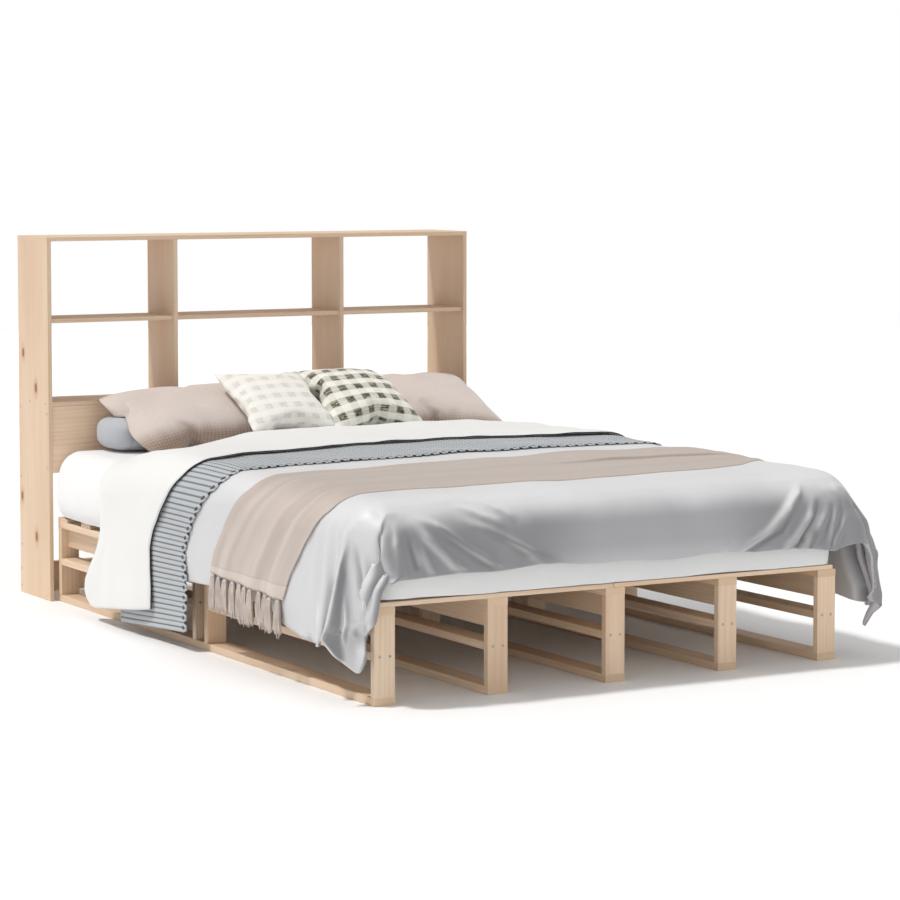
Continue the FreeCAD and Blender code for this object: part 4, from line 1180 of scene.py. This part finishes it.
# over the sheet there is nothing below: the body of the fold reaches down to it
down = np.clip((YYw - 1180) / 120.0, 0, 1) * np.clip((SSw - 10) / 120.0, 0, 1) * np.clip((1610 - SSw) / 120.0, 0, 1)
inn_h = core * (1 - down) + down * (-(PTOP + base_off) + 461.0)
inn_h = np.where(SSw < 0, core, inn_h)
out_h = np.maximum(out_h - (1 - round_h) * down * 40.0 - sink, inn_h + 1.5)
outer = pts + nrm * out_h[..., None]
inner = pts + nrm * inn_h[..., None]
white = shell("duvet_white_fold", rowa(outer), rowa(inner), M_WHITE, np.stack([SSw, YYw], -1) / 1000.0)
m = white.modifiers.new("s", "SUBSURF")
m.levels = m.render_levels = 1
apply_mods(white)
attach(white, "root")
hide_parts("duvet_white_turned_down")
bvh_white = BVHTree.FromPolygons([v.co for v in white.data.vertices], [p.vertices for p in white.data.polygons])


def tube(name, pts, r, mat, seg=8, closed=False, taper=None):
    """Round cord through points, in bed mm."""
    p = np.asarray(pts, float)
    n = len(p)
    tg = np.gradient(p, axis=0)
    tg /= np.maximum(np.linalg.norm(tg, axis=1, keepdims=True), 1e-9)
    up = np.array([0.31, 0.12, 0.94])
    b1 = np.cross(tg, up)
    b1 /= np.maximum(np.linalg.norm(b1, axis=1, keepdims=True), 1e-9)
    b2 = np.cross(tg, b1)
    ang = np.linspace(0, 2 * math.pi, seg, endpoint=False)
    rad = np.full(n, float(r)) if taper is None else r * np.asarray(taper)
    ringv = p[:, None, :] + rad[:, None, None] * (np.cos(ang)[None, :, None] * b1[:, None, :] + np.sin(ang)[None, :, None] * b2[:, None, :])
    v = ringv.reshape(-1, 3)
    f = []
    for i in range(n - 1):
        for j in range(seg):
            a_, b_ = i * seg + j, i * seg + (j + 1) % seg
            f.append((a_, b_, b_ + seg, a_ + seg))
    v = np.vstack([v, p[:1], p[-1:]])
    for j in range(seg):
        f.append((n * seg, (j + 1) % seg, j))
        e = (n - 1) * seg
        f.append((n * seg + 1, e + j, e + (j + 1) % seg))
    return v, f


def join_parts(name, parts, mat):
    vs, fs, base = [], [], 0
    for v, f in parts:
        vs.append(v)
        fs += [tuple(i + base for i in q) for q in f]
        base += len(v)
    me = bpy.data.meshes.new(name)
    me.from_pydata([tuple(p) for p in rowa(np.vstack(vs))], [], fs)
    me.polygons.foreach_set("use_smooth", [True] * len(me.polygons))
    me.materials.append(mat)
    o = bpy.data.objects.new(name, me)
    COL.objects.link(o)
    return o


# dark cord along the edge of the fold
edge = (pts + nrm * (core + 3.2)[..., None])[:, 0, :]
edge[:, 1] -= 1.8
pp_, ff_ = tube("p", edge, 1.8, M_PIPE)
piping = join_parts("fold_edge_piping", [(pp_, ff_)], M_PIPE)
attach(piping, "root")

# taupe blanket ---------------------------------------------------------------
BH = [(-171, 801), (-111, 770), (-27, 699), (30, 640), (70, 600), (120, 585), (220, 592), (334, 604), (430, 618), (851, 680), (1269, 690), (1460, 640), (1620, 610), (1720, 600)]
BF = [(-190, 371), (-118, 322), (-25, 237), (62, 150), (120, 130), (214, 146), (468, 160), (828, 150), (1000, 165), (1212, 191), (1364, 222), (1450, 285), (1500, 310), (1720, 330)]
na, nt = 300, 90
a = np.linspace(0, 1, na)
t = np.linspace(0, 1, nt)
smin = -190 + t * 19.0
smax = np.full(nt, 1700.0)
SB = smin[None, :] + a[:, None] * (smax - smin)[None, :]
yf, yh = interp(BF, SB), interp(BH, SB)
T = np.broadcast_to(t[None, :], (na, nt))
YB_ = yf + T * (yh - yf)
pts, nrm = over(SB, YB_, 3.0)
pf = np.stack([SB * 0.30, YB_], -1)
lay = np.clip(1 - np.abs(SB - 40) / 420.0, 0.12, 1)
fl = waves(np.stack([SB * 0.12, T * 460], -1), 130.0, 52, 7)
wr = 3.2 * fl * lay + 1.4 * waves(pf, 150.0, 51, 6)
wr += 4.5 * np.clip(-SB / 190.0, 0, 1) * np.sin(T * 460 / 26.0)
wr = wr - wr.min() * 0.35
# an overlapping pleat near the right end
line = 474.0 - 62.0 * np.clip((SB - 900.0) / 560.0, 0, 1.3) ** 1.6
dd = YB_ - line
ple = np.clip((SB - 860) / 240.0, 0, 1) * np.clip((1500 - SB) / 110.0, 0, 1)
wr += ple * 6.0 * np.where(dd > 0, np.exp(-dd / 120.0), np.exp(dd / 4.0))
po = spread(push_out(pts, nrm, [bvh_duvet], 2.0), 2, 3)
flat_in = np.clip((SB - 30) / 90.0, 0, 1) * (1 - np.clip(T / 0.07, 0, 1))
core = po + np.maximum(wr, 0) * (1 - flat_in) - 2.6 * flat_in
outer = pts + nrm * (core + 3.2 - 0.9 * flat_in)[..., None]
inner = pts + nrm * core[..., None]
uvb = np.stack([SB + 190, T * 460], -1) / 1000.0
blanket = shell("taupe_blanket", rowa(outer), rowa(inner), M_BLANKET, uvb)
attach(blanket, "root")
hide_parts("fringed_blanket")
# painted shade at the foot of the folded-over end
shade = 0.6 * ple * np.exp(-((dd + 5.0) / 7.0) ** 2)
nb_ = len(blanket.data.vertices)
sh_ = np.zeros(nb_, dtype=np.float32)
sh_[:min(nb_, shade.size)] = shade.ravel()[:nb_]
ca_ = blanket.data.attributes.new("painted_fold_light_shade", "FLOAT", "POINT")
ca_.data.foreach_set("value", sh_)

# fringe: knotted tassels of twisted yarn along the left hem
rnd = random.Random(7)
hem = (pts + nrm * (core + 1.6)[..., None])[0]
hem_n = nrm[0]
parts = []
NT = 11
for k in range(NT):
    t_ = (k + 0.5) / NT
    j = t_ * (len(hem) - 1)
    p0 = hem[int(j)] * (1 - j % 1) + hem[min(int(j) + 1, len(hem) - 1)] * (j % 1)
    # knot
    kn = []
    for q in range(13):
        an = q / 12 * 2 * math.pi
        kn.append(p0 + np.array([-1.0 + 3.4 * math.cos(an), 5.4 * math.sin(an), -7.5 + 1.2 * math.sin(2 * an)]))
    parts.append(tube("k", kn, 3.4, None, 7))
    length = rnd.uniform(92, 104)
    tilt = rnd.uniform(-0.06, 0.06)
    NS = 11
    for st in range(NS):
        f_ = (st + 0.5) / NS * 2 - 1
        lay_ = (st % 2) * 2 - 1
        line_ = []
        L = length * rnd.uniform(0.90, 1.05) - 5.0 * abs(f_)
        ph = rnd.uniform(0, 6.28)
        wig = rnd.uniform(0.6, 1.6)
        for q in range(14):
            u_ = q / 13
            half = np.interp(u_, [0, 0.12, 0.45, 1.0], [5.0, 10.5, 15.0, 16.5])
            xo = -1.5 + lay_ * np.interp(u_, [0, 0.15, 1.0], [1.2, 2.2, 2.6]) - 1.5 * math.sin(u_ * 3)
            line_.append(p0 + np.array([xo + 0.7 * math.sin(u_ * 7 + ph), f_ * half + tilt * u_ * L + wig * math.sin(u_ * 6 + ph) * u_, -2.0 - u_ * L]))
        tp = np.interp(np.linspace(0, 1, 14), [0, 0.1, 0.85, 1], [0.8, 1.0, 1.0, 0.45])
        parts.append(tube("s", line_, 2.3, None, 5, taper=tp))
fringe = join_parts("blanket_fringe_yarn", parts, M_FRINGE)
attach(fringe, "root")
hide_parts("blanket_fringe")


# ---------------------------------------------------------------------------
# pillows: two flat panels sewn at the rim and filled
# ---------------------------------------------------------------------------
def pillow(name, node, mat, w, h, t, centre, tilt, yaw, roll, seed, press=4.0, nose=0.0, sag=0.0, support=None, pull=()):
    st = 15.0
    nx, ny = int(w / st), int(h / st)
    u = np.linspace(-1, 1, nx + 1)
    v = np.linspace(-1, 1, ny + 1)
    U, Vv = np.meshgrid(u, v, indexing="ij")
    r = np.random.RandomState(seed)
    X = U * w / 2 * np.sqrt(1 - nose * Vv ** 4 / 2)
    Y = Vv * h / 2 * np.sqrt(1 - nose * U ** 4 / 2)
    prof = (1 - np.abs(U) ** 4) * (1 - np.abs(Vv) ** 4)
    z0 = 5.0 + 3.0 * waves(np.stack([X, Y], -1), 120.0, seed, 6) * 0.5
    topz = prof * np.maximum(z0, 2.0)
    rimmask = (np.abs(U) > 0.9999) | (np.abs(Vv) > 0.9999)
    n1 = (nx + 1) * (ny + 1)
    vt = np.stack([X, Y, np.where(rimmask, 0, topz)], -1).reshape(-1, 3)
    vb = np.stack([X, Y, -topz], -1).reshape(-1, 3)
    idx_b = np.full(n1, -1)
    rm = rimmask.ravel()
    idx_b[rm] = np.nonzero(rm)[0]
    inner_i = np.nonzero(~rm)[0]
    idx_b[inner_i] = n1 + np.arange(len(inner_i))
    verts = np.vstack([vt, vb[inner_i]])
    f1 = quads(nx + 1, ny + 1)
    f2 = idx_b[quads(nx + 1, ny + 1, 0, True)]
    uv = np.stack([X + w / 2, Y + h / 2], -1).reshape(-1, 2) / 1000.0
    uvs = np.vstack([uv, uv[inner_i]])
    o = make(name, verts / 1000.0, np.vstack([f1, f2]), mat, uvs)
    m = o.modifiers.new("cl", "CLOTH")
    s = m.settings
    s.quality = 5
    s.mass = 0.25
    s.air_damping = 3
    s.tension_stiffness = 18
    s.compression_stiffness = 10
    s.shear_stiffness = 6
    s.bending_stiffness = 0.35
    s.use_pressure = True
    s.uniform_pressure_force = press
    s.effector_weights.gravity = 0
    m.collision_settings.use_collision = False
    m.point_cache.frame_start = 1
    m.point_cache.frame_end = 40
    frames(24)
    apply_mods(o)
    bpy.context.scene.frame_set(1)
    c = get_co(o)
    c -= (c.max(0) + c.min(0)) / 2
    size = c.max(0) - c.min(0)
    c[:, 2] *= (t / 1000) / size[2]
    c[:, 0] *= (w / 1000) / size[0] * 0.985
    c[:, 1] *= (h / 1000) / size[1] * 0.985
    m = o.modifiers.new("s", "SUBSURF")
    set_co(o, c)
    m.levels = m.render_levels = 1
    apply_mods(o)
    c = get_co(o)
    n = get_no(o)
    pb = c * 1000
    c += n * (0.9 * waves(pb, 90.0, seed + 1, 7))[:, None] / 1000.0
    if sag:
        # the long side sags between its ends
        c[:, 1] -= sag / 1000 * (1 - (2 * c[:, 0] / (w / 1000)) ** 2) * np.clip(c[:, 1] / (h / 2000), -1, 1)
    M = (Matrix.Translation(Vector(row(*centre))) @ Matrix.Rotation(math.radians(yaw), 4, "Z")
         @ Matrix.Rotation(math.radians(roll), 4, "Y") @ Matrix.Rotation(math.radians(tilt), 4, "X"))
    Mn = np.array(M)
    c = c @ Mn[:3, :3].T + Mn[:3, 3]
    # corners pulled out of square, in bed mm
    uu = (get_co(o)[:, 0] / (w / 2000), get_co(o)[:, 1] / (h / 2000))
    for (su, sv), d, pw in pull:
        k = np.clip((uu[0] * su + 1) / 2, 0, 1) ** pw * np.clip((uu[1] * sv + 1) / 2, 0, 1) ** pw
        c += k[:, None] * np.array(d) / 1000.0
    if support is not None:
        bed = (c + np.array([OX, OY, 0])) * 1000
        low = support(bed)
        c[:, 2] = np.where(bed[:, 2] < low, low / 1000.0 + (bed[:, 2] - low) * 0.00004, c[:, 2])
    set_co(o, c)
    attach(o, "root")
    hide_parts(node)
    return o


def on_bed(bed):
    """Height of what the pillows rest on: the turned-down fold in front, the sheet behind it."""
    y = bed[:, 1]
    e = np.clip((1600 - y) / 40.0, 0, 1)
    return 459.5 + 66.0 * np.sqrt(np.clip(1 - (1 - e) ** 2, 0, 1))


BOL = dict(cx=360.0, cy=1893.0, cz=511.0, w=524.0, d=200.0, h=104.0)


def bolster(name, node, mat):
    """Small firm cushion with a boxed end: a rounded block with a seam near each end."""
    nu_, nv_ = 96, 56
    u = np.linspace(-1, 1, nu_ + 1)
    uu = np.sign(u) * (1 - (1 - np.abs(u)) ** 1.6)
    th = np.linspace(0, 2 * math.pi, nv_, endpoint=False)
    U, T_ = np.meshgrid(uu, th, indexing="ij")
    pr = (1 - np.abs(U) ** 9.0) ** (1 / 2.8)
    cy_, cz_ = np.cos(T_), np.sin(T_)
    ex = 0.62
    yy = np.sign(cy_) * np.abs(cy_) ** ex * pr * BOL["d"] / 2
    zz_ = np.sign(cz_) * np.abs(cz_) ** ex * pr * BOL["h"] / 2
    xx = U * BOL["w"] / 2
    q = np.stack([xx, yy, zz_], -1)
    seam = np.exp(-((np.abs(xx) - (BOL["w"] / 2 - 58)) / 3.2) ** 2)
    q[..., 1:] *= (1 - 0.035 * seam)[..., None]
    q[..., 1:] *= (1 + 0.012 * waves(q, 90.0, 61, 7))[..., None]
    q += np.array([BOL["cx"], BOL["cy"], BOL["cz"]])
    q[..., 2] = np.maximum(q[..., 2], 459.5)
    v = rowa(q.reshape(-1, 3))
    f = []
    for i in range(nu_):
        for j in range(nv_):
            a_, b_ = i * nv_ + j, i * nv_ + (j + 1) % nv_
            f.append((a_, a_ + nv_, b_ + nv_, b_))
    o = make(name, v, f, mat, None)
    bm_ = bmesh.new()
    bm_.from_mesh(o.data)
    bmesh.ops.remove_doubles(bm_, verts=bm_.verts, dist=0.00005)
    bmesh.ops.recalc_face_normals(bm_, faces=bm_.faces)
    bm_.to_mesh(o.data)
    bm_.free()
    o.data.polygons.foreach_set("use_smooth", [True] * len(o.data.polygons))
    o.data.update()
    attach(o, "root")
    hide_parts(node)
    return o


def on_bolster(bed):
    low = on_bed(bed)
    u = np.abs(bed[:, 0] - BOL["cx"]) / (BOL["w"] / 2 + 3)
    pr = np.clip(1 - np.clip(u, 0, 1) ** 9.0, 0, 1) ** (1 / 2.8)
    y = np.abs(bed[:, 1] - BOL["cy"]) / np.maximum((BOL["d"] / 2 + 4) * pr, 1e-3)
    z = BOL["cz"] + (BOL["h"] / 2) * pr * np.clip(1 - np.clip(y, 0, 1) ** 3.22, 0, 1) ** (1 / 3.22) + 3.0
    return np.where((u < 1) & (y < 1), np.maximum(low, z), low)


def rests(*objs, base=None, gap=1.5):
    """Support that also counts the upper sides of finished pillows."""
    trees = [BVHTree.FromPolygons([v_.co for v_ in o_.data.vertices], [p_.vertices for p_ in o_.data.polygons]) for o_ in objs]

    def low(bed):
        z = (base or on_bed)(bed)
        r = rowa(bed)
        for k_ in range(len(r)):
            for t_ in trees:
                hit = t_.ray_cast(Vector((r[k_, 0], r[k_, 1], 1.2)), Vector((0, 0, -1)), 0.9)
                if hit[0] is not None and hit[0].z * 1000 + gap > z[k_]:
                    z[k_] = hit[0].z * 1000 + gap
        return z
    return low


TILT = 27.0
bolster("pillow_blue_low", "pillow_grey_blue", M_BLUEP)
near_p = pillow("pillow_taupe_near", "pillow_taupe_left", M_LINEN, 672, 400, 145, (436, 1820, 556), TILT, -1, 0, 102, 5.0, nose=0.16,
       support=on_bolster, pull=(((-1, -1), (58, 25, 0), 2.2), ((-1, 1), (4, -30, -34), 3.0)))
far_p = pillow("pillow_taupe_far", "pillow_taupe_right", M_LINEN, 628, 400, 145, (1090, 1812, 556), TILT, 2, 0, 103, 5.0, nose=0.22,
       support=on_bed, pull=(((1, 1), (-26, -8, -6), 2.5),))
light_p = pillow("cushion_light_check", "pillow_light_check", M_CHK_L, 310, 320, 85, (582, 1690, 606), TILT + 3, 1, 0, 104, 5.0, nose=0.05, support=rests(near_p, far_p))
pillow("cushion_dark_check", "pillow_dark_check", M_CHK_D, 338, 322, 118, (858, 1690, 602), TILT + 3, 4, 0, 105, 5.0, nose=0.16, support=rests(near_p, far_p, light_p), pull=(((1, 1), (-26, -6, -22), 2.6),))

# ---------------------------------------------------------------------------
# floor, light and camera
# ---------------------------------------------------------------------------
fl = Net("pale_floor")
pn = fl.noise(fl.obj(), 1.2, 2.0)
fl.surf(fl.mix(pn, (0.945, 0.945, 0.947, 1), (0.955, 0.955, 0.956, 1)), 0.75, Specular_IOR_Level=0.2)
me = bpy.data.meshes.new("floor")
me.from_pydata([(-14, -12, -0.0005), (14, -12, -0.0005), (14, 16, -0.0005), (-14, 16, -0.0005)], [], [(0, 1, 2, 3)])
me.materials.append(fl.m)
floor = bpy.data.objects.new("floor", me)
COL.objects.link(floor)

wl = Net("studio_wall")
wl.t.nodes.remove(wl.b)
em = wl.t.nodes.new("ShaderNodeEmission")
em.inputs[0].default_value = (1, 1, 1, 1)
em.inputs[1].default_value = 1.0
wl.t.links.new(em.outputs[0], wl.out.inputs[0])
NW, RW = 64, 15.0
wv_, wf_ = [], []
for k in range(NW):
    an = 2 * math.pi * k / NW
    wv_ += [(RW * math.cos(an), RW * math.sin(an), -0.02), (RW * math.cos(an), RW * math.sin(an), 3.0)]
    q = (k + 1) % NW
    wf_.append((2 * k, 2 * k + 1, 2 * q + 1, 2 * q))
me = bpy.data.meshes.new("studio_wall")
me.from_pydata(wv_, [], wf_)
me.materials.append(wl.m)
wall = bpy.data.objects.new("studio_wall", me)
COL.objects.link(wall)

world = bpy.data.worlds.new("studio")
bpy.context.scene.world = world
world.use_nodes = True
bg = world.node_tree.nodes["Background"]
bg.inputs[0].default_value = (1.0, 1.0, 1.0, 1)
bg.inputs[1].default_value = 0.49
bpy.context.scene.view_settings.view_transform = "Standard"


def sun(name, direction, strength, angle, color=(1, 1, 1)):
    l = bpy.data.lights.new(name, "SUN")
    l.energy = strength
    l.angle = math.radians(angle)
    l.color = color
    o = bpy.data.objects.new(name, l)
    COL.objects.link(o)
    o.rotation_euler = (-Vector(direction)).to_track_quat("-Z", "Y").to_euler()
    return o


sun("key", (-0.455, 0.14, 0.87), 1.95, 7, (1.0, 0.985, 0.965))
sun("top", (0.05, 0.0, 1.0), 0.20, 50)
sun("fill", (-0.10, -0.95, 0.28), 0.28, 60)

cam = bpy.data.cameras.new("camera")
cam.sensor_width = 36.0
cam.lens = 118.63
cam.shift_y = -0.10
cam.clip_end = 60
co = bpy.data.objects.new("camera", cam)
COL.objects.link(co)
co.location = (-4.1096, -7.3999, 1.3419)
co.rotation_euler = (math.radians(90 - 3.930), 0, math.radians(-29.869))
bpy.context.scene.camera = co

bpy.context.view_layer.update()
